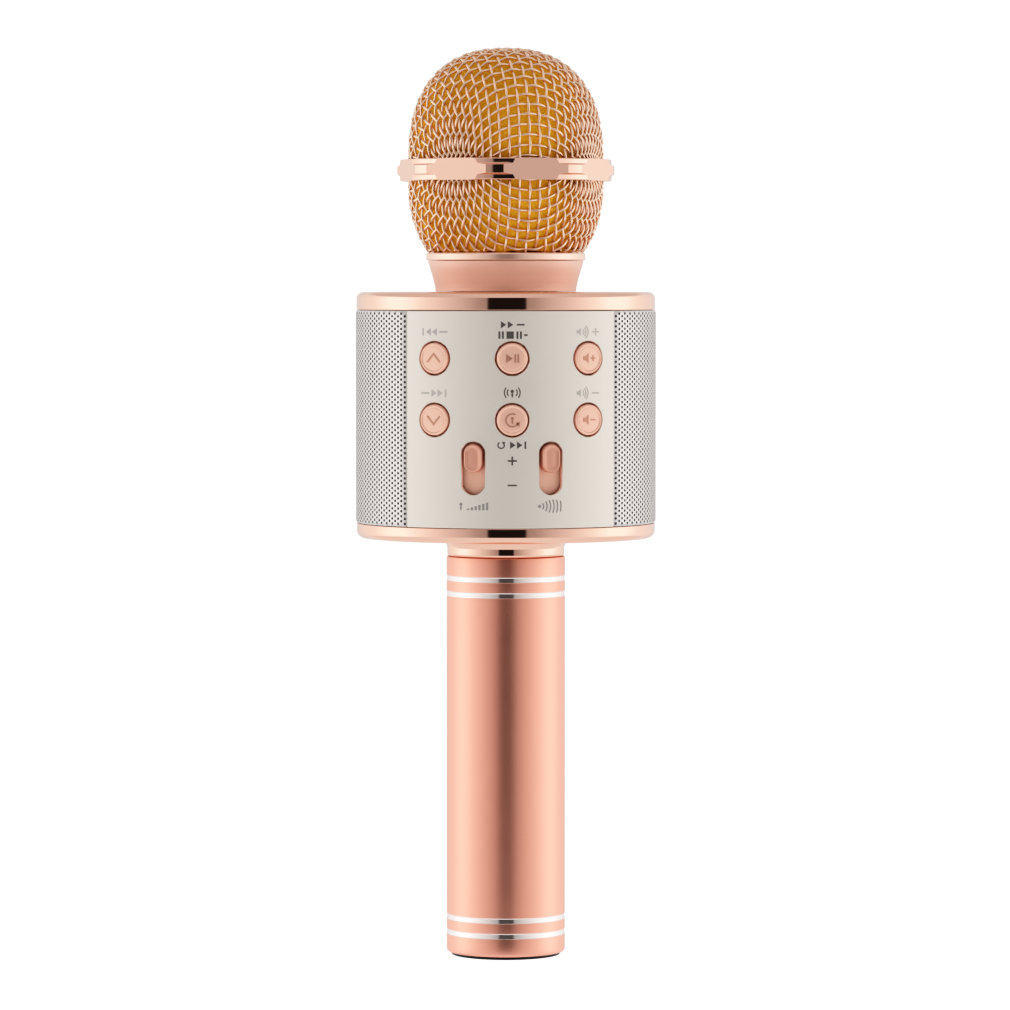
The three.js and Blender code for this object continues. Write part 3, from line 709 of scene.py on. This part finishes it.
def make_grille(name, side):
    """A sheet with a staggered pattern of round holes: one six-sided cell for each inner hole."""
    first, last = FRONT_HALF + GRILLE_GAP, 180 - REAR_HALF - GRILLE_GAP
    wide, tall, middle = arc(last - first), PANEL_TALL, PANEL_MIDDLE
    columns = int((wide - 2 * (HOLE_R + HOLE_MARGIN)) / HOLE_COLUMN) + 1
    rows = int((tall - 2 * (HOLE_R + HOLE_MARGIN)) / HOLE_PITCH + 0.5)
    left, low = -(columns - 1) * HOLE_COLUMN / 2, middle - (rows - 0.5) * HOLE_PITCH / 2
    corner = HOLE_PITCH / sqrt(3)
    points, index, faces, cells, edge_holes = [], {}, [], [], []

    def point(u, v):
        key = (round(u + 0.00013, 3), round(v + 0.00013, 3))
        if key not in index:
            index[key] = len(points)
            points.append((u, v))
        return index[key]

    for i in range(columns):
        for j in range(rows):
            u = left + i * HOLE_COLUMN
            v = low + (j + 0.5 * (i % 2)) * HOLE_PITCH
            if abs(u) + corner > wide / 2 - 0.1 or abs(v - middle) + corner > tall / 2 - 0.1:
                edge_holes.append((u, v))
                continue
            cells.append((u, v))
            hexagon = [(u + corner * cos(k * pi / 3), v + corner * sin(k * pi / 3)) for k in range(6)]
            rim = [point(*p) for p in circle_loop(u, v, HOLE_R, 12)]
            outer = []
            for k in range(6):
                (u0, v0), (u1, v1) = hexagon[k], hexagon[(k + 1) % 6]
                outer += [point(u0, v0), point((u0 + u1) / 2, (v0 + v1) / 2)]
            for k in range(12):
                n = (k + 1) % 12
                faces.append([rim[k], outer[k], outer[n], rim[n]])
    faces += grille_border(points, faces, (wide, tall, middle), cells, edge_holes, corner)
    bearing = side * (first + last) / 2

    def place(u, v, depth):
        inset = max(0.0, 1 - (wide / 2 - abs(u)) / ROLLED)
        tuck = max(0.0, 1 - (tall / 2 - abs(v - middle)) / TUCKED)
        dip = ROLL_DEPTH * inset * inset + TUCK_DEPTH * tuck * tuck
        return on_drum(u, v, depth + 0.05 + dip, bearing)

    shape = thicken(points, faces, place, GRILLE_T)
    add_fine(f"grille_{name}", shape, "grille", "grille_metal", sharp=40)
    make_cloth(name, wide, tall, lambda u, v, d: place(u, v, d + GRILLE_T + 0.05))


def make_cloth(name, wide, tall, place):
    """The dust cloth behind a grille."""
    middle, across = PANEL_MIDDLE, int(wide)
    cloth_points, cloth_faces = [], []
    for k in range(across + 1):
        u = (k / across - 0.5) * (wide - 0.4)
        cloth_points += [(u, middle - tall / 2 + 0.2), (u, middle + tall / 2 - 0.2)]
        if k:
            cloth_faces.append([2 * k - 2, 2 * k, 2 * k + 1, 2 * k - 1])
    shape = thicken(cloth_points, cloth_faces, place, 0.2)
    add_piece(f"grille_cloth_{name}", *shape, "cloth", "housing", "speaker_paper")


def grille_border(points, faces, sheet, cells, edge_holes, corner):
    """Fills from the outer cells to the sheet's edge, round the edge holes. It adds to points."""
    wide, tall, middle = sheet
    outside = [pair for pair in boundary(faces) if not on_a_hole(points, pair)]
    used = sorted({i for pair in outside for i in pair})
    local = {i: k for k, i in enumerate(used)}
    flat = [Vector(points[i]) for i in used]
    edges = [(local[a], local[b]) for a, b in outside]
    kept_count = len(flat)
    across, up = int(wide / 1.4), int(tall / 1.4)
    x, y = wide / 2, tall / 2
    frame_loop = [(-x + wide * k / across, middle - y) for k in range(across)]
    frame_loop += [(x, middle - y + tall * k / up) for k in range(up)]
    frame_loop += [(x - wide * k / across, middle + y) for k in range(across)]
    frame_loop += [(-x, middle + y - tall * k / up) for k in range(up)]
    for loop in [frame_loop] + [circle_loop(u, v, HOLE_R, 12) for u, v in edge_holes]:
        first = len(flat)
        flat += [Vector(p) for p in loop]
        edges += [(first + k, first + (k + 1) % len(loop)) for k in range(len(loop))]
    made, _, tris, sources, *_ = geometry.delaunay_2d_cdt(flat, edges, [], 1, 1e-6)
    to_points = []
    for k, p in enumerate(made):
        came_from = [i for i in sources[k] if i < kept_count] if k < len(sources) else []
        if came_from:
            to_points.append(used[came_from[0]])
        else:
            to_points.append(len(points))
            points.append((p.x, p.y))
    reach = corner * cos(pi / 6)
    kept = []
    for tri in tris:
        u = sum(made[i].x for i in tri) / 3
        v = sum(made[i].y for i in tri) / 3
        in_hole = any(hypot(u - hu, v - hv) < HOLE_R * cos(pi / 12) for hu, hv in edge_holes)
        if not in_hole and not any(in_cell(u - cu, v - cv, reach) for cu, cv in cells
                                   if abs(cu - u) < 1 and abs(cv - v) < 1):
            kept.append([to_points[i] for i in tri])
    return kept


def in_cell(u, v, reach):
    return all(abs(u * cos(a) + v * sin(a)) < reach + 0.005 for a in (pi / 6, pi / 2, 5 * pi / 6))


def on_a_hole(points, pair):
    """Tells whether an edge lies on the rim of one of the round holes."""
    (u0, v0), (u1, v1) = points[pair[0]], points[pair[1]]
    return hypot(u1 - u0, v1 - v0) < 0.25


# ---- Controls ----------------------------------------------------------------------------------

def make_key(name, column, row):
    station = outward(column * BUTTON_SIDE, BUTTON_ROWS[row])
    corners = [(0, 40.6, 0), (2.9, 40.54, 0.3), (3.25, 40.42, 0.15), (3.45, 40.62, 0.12),
               (3.65, 40.72, 0.15), (BUTTON_R, 40.3, 0.4), (BUTTON_R, 38.0, 0), (4.9, 38.0, 0.1),
               (4.9, 37.3, 0.1), (1.6, 37.3, 0), (1.6, 36.3, 0.1), (0, 36.3, 0)]
    verts, faces = lathe(rounded(corners, 4, closed=False), 64, closed=False)
    body = f"button_{name}"
    add_fine(body, (placed(verts, station), faces), "rose_key", "rose_gold_gloss", body, sharp=35)
    icon = merged(*[extrude_flat(patch, station, 40.4, 40.67) for patch in ICONS[name]])
    # the raised signs carry the darker rose gold as painted shade of an engraving
    add_piece(f"{body}_icon", *icon, "rose_icon", body, "rose_gold_gloss")


def stroke(points, width, closed=False):
    """A flat ribbon along points, mitred at the bends, as (points, faces)."""
    count = len(points)
    left, right = [], []
    for i in range(count):
        here = Vector(points[i])
        ahead = Vector(points[(i + 1) % count]) - here if closed or i < count - 1 else None
        behind = here - Vector(points[i - 1]) if closed or i > 0 else None
        a = (ahead or behind).normalized()
        b = (behind or ahead).normalized()
        mean = (a + b).normalized()
        normal = Vector((-mean.y, mean.x))
        reach = width / 2 / max(0.4, normal.dot(Vector((-a.y, a.x))))
        left.append(tuple(here + normal * reach))
        right.append(tuple(here - normal * reach))
    flat = right + left
    last = count if closed else count - 1
    faces = [[k, (k + 1) % count, count + (k + 1) % count, count + k] for k in range(last)]
    return flat, faces


def polygon(*corners):
    return list(corners), [list(range(len(corners)))]


def bar(x0, y0, x1, y1):
    return polygon((x0, y0), (x1, y0), (x1, y1), (x0, y1))


def arc_stroke(x, y, radius, start, end, width, steps=10):
    angles = [radians(start + (end - start) * k / steps) for k in range(steps + 1)]
    return stroke([(x + radius * cos(a), y + radius * sin(a)) for a in angles], width)


def shifted(patches, dx, dy, size=1.0):
    return [([(x * size + dx, y * size + dy) for x, y in points], faces) for points, faces in patches]


def triangle(x, size, way=1):
    """A play arrow, pointing right or, with way -1, left."""
    tip, back = (x + way * size * 0.9, 0), x - way * size * 0.6
    if way > 0:
        return polygon((back, -size), tip, (back, size))
    return polygon(tip, (back, -size), (back, size))


def loudspeaker(x, size):
    left, neck, right, low = x - size, x - 0.45 * size, x + 0.2 * size, 0.4 * size
    return polygon((left, -low), (neck, -low), (right, -size), (right, size), (neck, low), (left, low))


def microphone_sign(size):
    """A small hand microphone: a ball and a tapering handle."""
    return [polygon(*circle_loop(0, 0.5 * size, 0.42 * size, 12)),
            polygon((-0.14 * size, -size), (0.14 * size, -size), (0.26 * size, 0), (-0.26 * size, 0))]


LINE = 0.34   # the usual width of a sign's lines
MINUS = bar(0.45, -0.17, 1.95, 0.17)
ICONS = {
    "previous": [stroke([(-1.85, -1.0), (0, 1.15), (1.85, -1.0)], LINE * 1.4)],
    "next": [stroke([(-1.85, 1.0), (0, -1.15), (1.85, 1.0)], LINE * 1.4)],
    "play_pause": [triangle(-0.9, 1.15), bar(0.55, -1.1, 0.95, 1.1), bar(1.35, -1.1, 1.75, 1.1)],
    "replay": [arc_stroke(0, 0, 1.7, 60, 330, LINE),
               polygon((1.75, -1.7), (2.05, -0.4), (0.85, -0.75))] + microphone_sign(0.95),
    "volume_up": [loudspeaker(-0.5, 1.3), MINUS, bar(1.03, -0.75, 1.37, -0.22),
                  bar(1.03, 0.22, 1.37, 0.75)],
    "volume_down": [loudspeaker(-0.5, 1.3), MINUS],
}


def extrude_flat(patch, station, low, high):
    points, faces = patch
    return thicken(points, faces, lambda u, v, d: tuple(station @ Vector((u, v, high - d))), high - low)


def print_signs(name, paint, patches, bearing=0.0):
    """Signs printed on the drum's surface: patches in millimetres along the surface and up."""
    plates = [thicken(points, faces, lambda u, v, d: on_drum(u, v, d - 0.03, bearing), 0.05)
              for points, faces in patches]
    add_piece(name, *merged(*plates), paint, "housing", "panel_metal", sharp=60)


def moved(patches, bearing, z):
    return shifted(patches, arc(bearing), z)


def skip_sign(way):
    """Two arrows and a stop bar, with a long lead-in bar on the other side."""
    stop0, stop1 = sorted((way * 3.1, way * 3.55))
    lead0, lead1 = sorted((way * -3.9, way * -1.5))
    return [triangle(-way * 0.2, 1.0, way), triangle(way * 1.6, 1.0, way),
            bar(stop0, -1.0, stop1, 1.0), bar(lead0, -0.25, lead1, 0.25)]


def volume_sign(louder):
    signs = [loudspeaker(-2.6, 1.05)]
    signs += [arc_stroke(-2.3, 0, radius, -50, 50, 0.3) for radius in (0.85, 1.5, 2.15)]
    signs.append(bar(1.1, -0.18, 3.4, 0.18))
    if louder:
        signs += [bar(2.07, -1.0, 2.43, -0.22), bar(2.07, 0.22, 2.43, 1.0)]
    return signs


def microphone_waves():
    """A microphone between two pairs of waves."""
    return microphone_sign(1.05) + [arc_stroke(0, 0.2, radius, side - 40, side + 40, 0.3)
                                    for radius in (1.3, 2.05) for side in (0, 180)]


def level_sign():
    """A microphone with rising level bars."""
    bars = [bar(-1.6 + k, -1.0, -1.0 + k, -0.55 + 0.31 * k) for k in range(6)]
    return shifted(microphone_sign(1.05), -3.3, 0) + bars


def echo_sign():
    """Waves that spread from a dot."""
    waves = [arc_stroke(-3.1, 0, 1.1 + 0.95 * k, -44 + 6 * k, 44 - 6 * k, 0.36) for k in range(6)]
    return [polygon(*circle_loop(-3.1, 0, 0.45, 10))] + waves


def again_sign():
    """A turning arrow in front of a small play sign."""
    return [arc_stroke(-2.9, 0, 0.85, 120, 420, 0.32),
            polygon((-2.75, 0.85), (-1.75, 0.85), (-2.2, -0.05)),
            triangle(0, 0.95), triangle(1.8, 0.95), bar(3.2, -0.95, 3.65, 0.95)]


def make_prints():
    side = moved(skip_sign(-1), -BUTTON_SIDE, SIGN_ROWS[0])
    side += moved(skip_sign(1), -BUTTON_SIDE, SIGN_ROWS[1])
    side += moved(volume_sign(True), BUTTON_SIDE, SIGN_ROWS[0])
    side += moved(volume_sign(False), BUTTON_SIDE, SIGN_ROWS[1])
    print_signs("side_signs", "print_pale", side)
    centre = moved([triangle(-2.4, 0.95), triangle(-0.6, 0.95), bar(1.2, -0.22, 3.2, 0.22)], 0, 169.5)
    tall_bars = ((-3.6, 0.5), (-2.7, 0.5), (-1.5, 1.9), (1.1, 0.5), (2.0, 0.5))
    centre += moved([bar(x, -0.95, x + width, 0.95) for x, width in tall_bars]
                    + [bar(3.1, -0.22, 4.0, 0.22)], 0, 166.8)
    centre += moved(microphone_waves(), 0, SIGN_ROWS[1]) + moved(again_sign(), 0, 138.1)
    centre += [bar(-1.2, 133.78, 1.2, 134.22), bar(-0.22, 134.22, 0.22, 135.15),
               bar(-0.22, 132.85, 0.22, 133.78), bar(-1.2, 127.4, 1.2, 127.8)]
    print_signs("centre_signs", "print_dark", centre)
    low = moved(level_sign(), -SLOT_BEARING, 122.1) + moved(echo_sign(), SLOT_BEARING, 122.1)
    print_signs("slider_signs", "print", low)


KNOB_W, KNOB_H = 4.9, 7.5
SHUTTER_W, SHUTTER_H, SHUTTER_FACE, SHUTTER_BACK = 6.7, 19.2, 37.9, 37.3


def make_slider(name, side):
    """A knob on a shutter plate that keeps the slot closed, and the tray it runs in."""
    station, lift = outward(side * SLOT_BEARING, SLOT_Z), SLOT_TRAVEL / 2
    wide, tall = SHUTTER_W + 0.3, SHUTTER_H + SLOT_TRAVEL + 0.3
    tray = [(wide + 1.2, tall + 1.2, 36.5), (wide + 1.2, tall + 1.2, 38.2), (wide, tall, 38.2),
            (wide, tall, 37.2), (2.4, SLOT_TRAVEL + 3, 37.2), (2.4, SLOT_TRAVEL + 3, 36.5)]
    add_fine(f"slot_tray_{name}", loft([pill_ring(station, *ring) for ring in tray]), "rose_satin",
             "rose_gold_satin")

    def stacked(width, height, profile):
        return loft([pill_ring(station, width - 2 * inset, height - 2 * inset, r, lift)
                     for inset, r in profile], close=False)

    shutter = stacked(SHUTTER_W, SHUTTER_H, [(0, SHUTTER_BACK), (0, SHUTTER_FACE - 0.1),
                                             (0.1, SHUTTER_FACE)])
    knob = stacked(KNOB_W, KNOB_H, [(0.0, 37.8), (0.0, 40.3), (0.06, 40.7), (0.2, 40.98),
                                    (0.42, 41.12), (0.66, 41.06), (0.84, 40.9), (1.2, 40.86),
                                    (1.8, 40.9), (2.3, 40.92)])
    stem = box_solid(station, (-0.8, 0.8), (lift - 1, lift + 1), (35.6, 37.4))
    verts, faces = merged(knob, shutter, stem)
    # the shutter's faces take the lighter rose gold, painted light against the slot's shade
    on_shutter = [int(k >= len(knob[1])) for k in range(len(faces))]
    add_fine(f"slider_{name}", (verts, faces), "rose_knob", "rose_gold_gloss", f"slider_{name}",
             sharp=40, face_paint=on_shutter, second="rose_shutter_painted_light")


def box_solid(matrix, xs, ys, zs):
    square = ((xs[0], ys[0]), (xs[1], ys[0]), (xs[1], ys[1]), (xs[0], ys[1]))
    faces = [[3, 2, 1, 0], [4, 5, 6, 7]]
    faces += [[k, (k + 1) % 4, 4 + (k + 1) % 4, 4 + k] for k in range(4)]
    return placed([(x, y, z) for z in zs for x, y in square], matrix), faces


# ---- Back of the drum --------------------------------------------------------------------------

REAR_SIGNS = 6.2   # how far the signs stand beside their fittings


def make_rear_fittings():
    nose = rounded([(1.75, 27.5, 0), (1.75, 39.6, 0.25), (2.9, 39.6, 0.3), (2.9, 27.5, 0)], 4)
    verts, faces = lathe(nose, 48)
    body = box_solid(Matrix.Translation((0, 0, REAR_Z["jack"])), (-3.5, 3.2), (26, 35.6), (-3.2, 3.2))
    shape = merged((placed(verts, outward(180, REAR_Z["jack"])), faces), body)
    add_fine("audio_jack", shape, "black", "black_plastic")

    corners = [(0, 36.8, 0), (1.6, 36.8, 0.1), (1.6, 38.2, 0.1), (0.9, 38.2, 0), (0.9, 40.2, 0.3),
               (0, 40.4, 0)]
    verts, faces = lathe(rounded(corners, 4, closed=False), 32, closed=False)
    shape = placed(verts, outward(180, REAR_Z["lamp"])), faces
    add_fine("indicator_lens", shape, "lens", "lamp_lens")

    knob, down = outward(180, REAR_Z["switch"]), -1.5
    rings = [(3.3, 4.3, 37.9), (3.4, 4.4, 38.4), (3.4, 4.4, 40.4), (3.2, 4.2, 40.8), (2.8, 3.8, 40.95)]
    grip = loft([pill_ring(knob, *ring, down, 32) for ring in rings], close=False)
    middles = [down + k * 0.75 for k in (-1, 0, 1)]
    ridges = [box_solid(knob, (-1.1, 1.1), (y - 0.16, y + 0.16), (40.9, 41.2)) for y in middles]
    flange = box_solid(knob, (-2.8, 2.8), (down - 2.9, down + 2.9), (36.9, 37.9))
    stem = box_solid(knob, (-0.7, 0.7), (down - 0.8, down + 0.8), (36.3, 36.9))
    add_fine("power_knob", merged(grip, flange, stem, *ridges), "black", "black_plastic",
             "power_knob")

    bolt = [polygon((0.3, 1.6), (-1.0, -0.25), (-0.1, -0.25)),
            polygon((0.1, 0.25), (1.0, 0.25), (-0.3, -1.6))]
    headphones = [arc_stroke(0, -0.3, 1.3, 0, 180, 0.3), bar(-1.55, -1.2, -0.95, -0.2),
                  bar(0.95, -1.2, 1.55, -0.2)]
    card = [stroke([(-0.9, -1.3), (0.9, -1.3), (0.9, 1.3), (-0.3, 1.3), (-0.9, 0.7)], 0.26, True)]
    power = [arc_stroke(0, 0, 1.1, -230, 50, 0.28), bar(-0.14, 0.35, 0.14, 1.5)]
    signs = []
    for sign, place, size in ((bolt, "charging", 0.8), (headphones, "jack", 0.95),
                              (card, "card", 0.9), (power, "switch", 1.0)):
        signs += shifted(sign, REAR_SIGNS, REAR_Z[place], size)
    print_signs("rear_signs", "print_dark", signs, 180)


# ---- Neck and head -----------------------------------------------------------------------------

def make_neck():
    corners = [(7, 174.4, 0), (14, 174.4, 0), (14, 178.1, 0), (18.85, 178.1, 0.1), (18.92, 179.0, 1.5),
               (19.15, 180.2, 3), (19.7, 182.3, 8), (20.35, 184.4, 8), (20.9, 186.3, 0.1),
               (20.2, 186.3, 0.1), (20.2, 185.8, 0.1), (16.9, 185.8, 0.1), (16.9, 180.6, 0),
               (7, 180.6, 0)]
    add_fine("neck_collar", lathe(rounded(corners, 6), 192), "rose_neck", "rose_gold_satin")


THREAD_START, THREAD_PITCH, THREAD_DEPTH = 181.4, 1.5, 0.22


def thread_wave(z):
    """Depth of the screw thread's ridges at a height on the skirt."""
    phase = ((z - THREAD_START) / THREAD_PITCH) % 1
    return THREAD_DEPTH * (1 - abs(2 * phase - 1))


def make_head_ring():
    """A bead round the neck's lip over a threaded skirt."""
    top, bottom, radius, skirt_low = 188.5, 186.4, 21.3, 181.2
    path = [(14.9, skirt_low)]
    path += [(16.28 + thread_wave(z), z) for z in [skirt_low + 0.25 * k for k in range(20)]]
    path += rounded([(16.2, 186.0, 0), (16.2, bottom, 0), (radius, bottom, 0.25), (radius, top, 0.6),
                     (14.9, top, 0)], 7, closed=False)[1:]
    add_fine("head_ring", lathe(path, 192), "rose_bead", "rose_gold_gloss", "head")


def make_gasket():
    corners = [(17.3, 185.9, 0.1), (19.9, 185.9, 0.15), (19.9, 186.3, 0.15), (17.3, 186.3, 0.1)]
    add_fine("head_gasket", lathe(rounded(corners, 4), 128), "rubber", "black_rubber", "head_gasket")


FLATS, FLAT_DISTANCE, FLAT_TURN = 8, 27.7, 14.3
RING_LIFT = 0.4   # how far the ring sits above the seam


def make_trim_ring():
    """A ring with eight flats. Each row's points are spaced so that the flats' edges stay crisp."""
    upper = [(26.55, 2.9, 0), (28.26, 2.9, 0.3), (28.42, 1.5, 0.06), (29.1, 1.1, 0.1)]
    outer = rounded(upper + [(r, -z, fillet) for r, z, fillet in upper[::-1]], 4, closed=False)
    inner = [(26.5, -2.6), (26.5, 2.6)]
    flat_steps, round_steps = 10, 6
    rows = []
    for r, dz in outer + inner:
        half = acos(FLAT_DISTANCE / r) if r > FLAT_DISTANCE + 1e-6 else radians(2)
        row = []
        for k in range(FLATS):
            centre = radians(FLAT_TURN) + tau * k / FLATS
            swings = [-half + 2 * half * m / flat_steps for m in range(flat_steps)]
            swings += [half + (tau / FLATS - 2 * half) * m / round_steps for m in range(round_steps)]
            for swing in swings:
                reach = min(r, FLAT_DISTANCE / cos(swing)) if abs(swing) <= half + 1e-9 else r
                a = centre + swing
                row.append((reach * sin(a), -reach * cos(a), SEAM_Z + RING_LIFT + dz))
        rows.append(row)
    add_fine("trim_ring", loft(rows[::-1]), "rose_gloss", "rose_gold_gloss", "head", sharp=9)


class Shell:
    """Half of the woven head as a surface of revolution round its pole, inset to the wires' middle."""

    def __init__(self, centre, height, power, sign):
        inset = 2 * WIRE_R
        self.centre, self.height, self.power, self.sign = centre, height - inset, power, sign
        self.radius = HEAD_R - inset

    def value(self, p):
        rho = hypot(p.x, p.y) / self.radius
        t = max(0.0, self.sign * (p.z - self.centre)) / self.height
        return (rho ** self.power + t ** self.power) ** (1 / self.power) - 1

    def normal(self, p):
        step = 0.01
        moves = (Vector((step, 0, 0)), Vector((0, step, 0)), Vector((0, 0, step)))
        return Vector([self.value(p + m) - self.value(p - m) for m in moves]).normalized()

    def pole(self):
        return Vector((0, 0, self.centre + self.sign * self.height))

    def onto(self, p):
        for _ in range(6):
            n = self.normal(p)
            p = p - n * self.value(p) * self.radius
        return p


def next_on_arm(shell, here, heading):
    """The surface point one weave step on, in the upright plane of heading."""
    step = heading.normalized() * WEAVE
    for _ in range(12):
        there = shell.onto(here + step)
        step = (there - here).normalized() * WEAVE
    return shell.onto(here + step)


def fourth_corner(shell, a, b, behind):
    """The surface point one weave step from both a and b, on the far side from behind."""
    p = shell.onto(a + b - behind)
    for _ in range(12):
        n = shell.normal(p)
        da, db = p - a, p - b
        rows = Matrix((da.normalized(), db.normalized(), n))
        miss = Vector((WEAVE - da.length, WEAVE - db.length, -shell.value(p) * shell.radius))
        if abs(rows.determinant()) < 1e-3:
            return None
        move = rows.inverted() @ miss
        if move.length > 1.5:
            move = move.normalized() * 1.5
        p = p + move
    good = abs((p - a).length - WEAVE) < 0.08 and abs((p - b).length - WEAVE) < 0.08
    return p if good and (p - behind).length > 0.4 else None


def weave_net(shell, past_seam):
    """Crossings of a plain weave drawn over the shell: a net of equal steps from two square arms."""
    reach = 30
    quarter = {(0, 0): shell.pole()}
    for axis in (0, 1):
        a = radians(WEAVE_BEARING + 90 * axis)
        ahead = Vector((sin(a), -cos(a), 0))
        for k in range(1, reach):
            here = quarter[(k - 1, 0) if axis == 0 else (0, k - 1)]
            there = next_on_arm(shell, here, ahead)
            ahead = there - here
            quarter[(k, 0) if axis == 0 else (0, k)] = there
            if past_seam(there):
                break
    for i in range(1, reach):
        for j in range(1, reach):
            a, b = quarter.get((i - 1, j)), quarter.get((i, j - 1))
            behind = quarter.get((i - 1, j - 1))
            if a is None or b is None or behind is None or (past_seam(a) and past_seam(b)):
                continue
            corner = fourth_corner(shell, a, b, behind)
            if corner is not None:
                quarter[(i, j)] = corner
    net = {}
    spin = Matrix.Rotation(radians(90), 3, "Z")
    for (i, j), p in quarter.items():
        x, y = i, j
        for _ in range(4):
            net.setdefault((x, y), p.copy())
            p = spin @ p
            x, y = -y, x
    return net


def tube(path, radius, sides):
    """A round wire along a path, with capped ends."""
    verts, faces = [], []
    side = None
    for k, p in enumerate(path):
        along = (path[min(k + 1, len(path) - 1)] - path[max(k - 1, 0)]).normalized()
        if side is None:
            side = along.orthogonal().normalized()
        side = (side - along * side.dot(along)).normalized()
        up = along.cross(side)
        verts += [tuple(p + side * radius * cos(tau * m / sides) + up * radius * sin(tau * m / sides))
                  for m in range(sides)]
    for k in range(len(path) - 1):
        for m in range(sides):
            n = (m + 1) % sides
            faces.append([k * sides + m, k * sides + n, (k + 1) * sides + n, (k + 1) * sides + m])
    faces.append([m for m in reversed(range(sides))])
    faces.append([(len(path) - 1) * sides + m for m in range(sides)])
    return verts, faces


def smooth_path(points, between=3):
    """A Catmull-Rom curve through points."""
    path = []
    for k in range(len(points) - 1):
        p0, p1 = points[max(k - 1, 0)], points[k]
        p2, p3 = points[k + 1], points[min(k + 2, len(points) - 1)]
        for m in range(between):
            t = m / between
            path.append(0.5 * ((2 * p1) + (p2 - p0) * t + (2 * p0 - 5 * p1 + 4 * p2 - p3) * t * t
                               + (3 * p1 - p0 - 3 * p2 + p3) * t ** 3))
    path.append(points[-1])
    return path


def cut_at(inner, outer, z):
    """The point at a height on the line between two points."""
    return inner + (outer - inner) * ((z - inner.z) / (outer.z - inner.z))


def weave(name, shell, past_seam, end_z, node_name):
    """Draws the wires from the seam towards the pole, or to end_z, over and under their neighbours."""
    net = weave_net(shell, past_seam)
    crimp = WIRE_R * 1.05
    tubes = []
    for family in (0, 1):
        lines = sorted({key[1 - family] for key in net})
        for line in lines:
            run, before = [], None
            span = sorted(key[family] for key in net if key[1 - family] == line)
            for step in range(span[0], span[-1] + 1):
                p = net.get((step, line) if family == 0 else (line, step))
                if p is None or past_seam(p) or p.z < end_z:
                    if run and p is not None and p.z < end_z:
                        run.append(cut_at(before, p, end_z))
                    tubes += finished_wire(run)
                    run = []
                else:
                    if not run and before is not None and before.z < end_z:
                        run = [cut_at(p, before, end_z)]
                    over = 1 if (step + line + family) % 2 else -1
                    run.append(p + shell.normal(p) * crimp * over)
                before = p
            tubes += finished_wire(run)
    add_piece(name, *merged(*tubes), "wire", "head", "mesh_wire", [node_name], 60)


def finished_wire(run):
    return [tube(smooth_path(run), WIRE_R, 8)] if len(run) > 1 else []


def make_mesh_head():
    dome = Shell(DOME_CENTRE, DOME_HEIGHT, DOME_POWER, 1)
    bowl = Shell(BOWL_CENTRE, BOWL_HEIGHT, BOWL_POWER, -1)
    weave("woven_dome", dome, lambda p: p.z < SEAM_Z - 1.5, SEAM_Z - 9, "mesh_dome")
    weave("woven_basket", bowl, lambda p: p.z > SEAM_Z + 1.5, 188.85, "mesh_basket")


def make_foam():
    """The foam liner: a soft shell just inside the weave, with an uneven surface."""
    inset, wall, bottom = 1.75, 3.2, 188.95
    outer, inner = [], []
    for offset, path in ((inset, outer), (inset + wall, inner)):
        radius = HEAD_R - offset
        for k in range(40):
            z = DOME_CENTRE + (DOME_HEIGHT - offset) * cos(pi / 2 * k / 39)
            t = (z - DOME_CENTRE) / (DOME_HEIGHT - offset)
            path.append((radius * max(0.0, 1 - t ** DOME_POWER) ** (1 / DOME_POWER), z))
        for k in range(1, 21):
            z = DOME_CENTRE + (bottom - DOME_CENTRE) * k / 20
            t = min(1.0, max(0.0, (BOWL_CENTRE - z) / (BOWL_HEIGHT - offset)))
            path.append((radius * sqrt(1 - t * t), z))
    verts, faces = lathe(outer + inner[::-1], 144, closed=False)
    verts = [tuple(Vector(v) * (1 + 0.004 * noise.noise(Vector(v) * 0.35) - 0.002)) for v in verts]
    foam = add_piece("foam_liner", verts, faces, "foam", "head", "head_foam", ["foam_windscreen"])


# ---- The microphone ----------------------------------------------------------------------------

make_handle()
make_end_cap()
make_screw()
make_trim_ring_under()
make_caps()
make_front_panel()
make_rear_panel()
make_grille("left", -1)
make_grille("right", 1)
for key in KEYS:
    make_key(*key)
make_prints()
for name, side in (("mic_volume", -1), ("echo", 1)):
    make_slider(name, side)
make_rear_fittings()
make_neck()
make_head_ring()
make_gasket()
make_trim_ring()
make_mesh_head()
make_foam()

# The pieces that keep their CAD shape get their finish by the record's slot.
SLOT_PAINT = {
    "rose_gold_satin": "rose_satin", "rose_gold_gloss": "rose_gloss", "mesh_wire": "wire",
    "head_foam": "foam", "panel_metal": "panel", "grille_metal": "grille", "black_plastic": "black",
    "black_rubber": "rubber", "grey_plastic": "grey", "speaker_paper": "paper", "plated_steel": "steel",
    "magnet_steel": "dark_steel", "circuit_board": "board", "cell_wrap": "wrap", "lamp_lens": "lens",
}
for part in frame["record"]["subparts"]:
    mesh = NODES[part["node"]].data
    mesh.materials.clear()
    mesh.materials.append(PAINT[SLOT_PAINT[part["material_slot"]]])
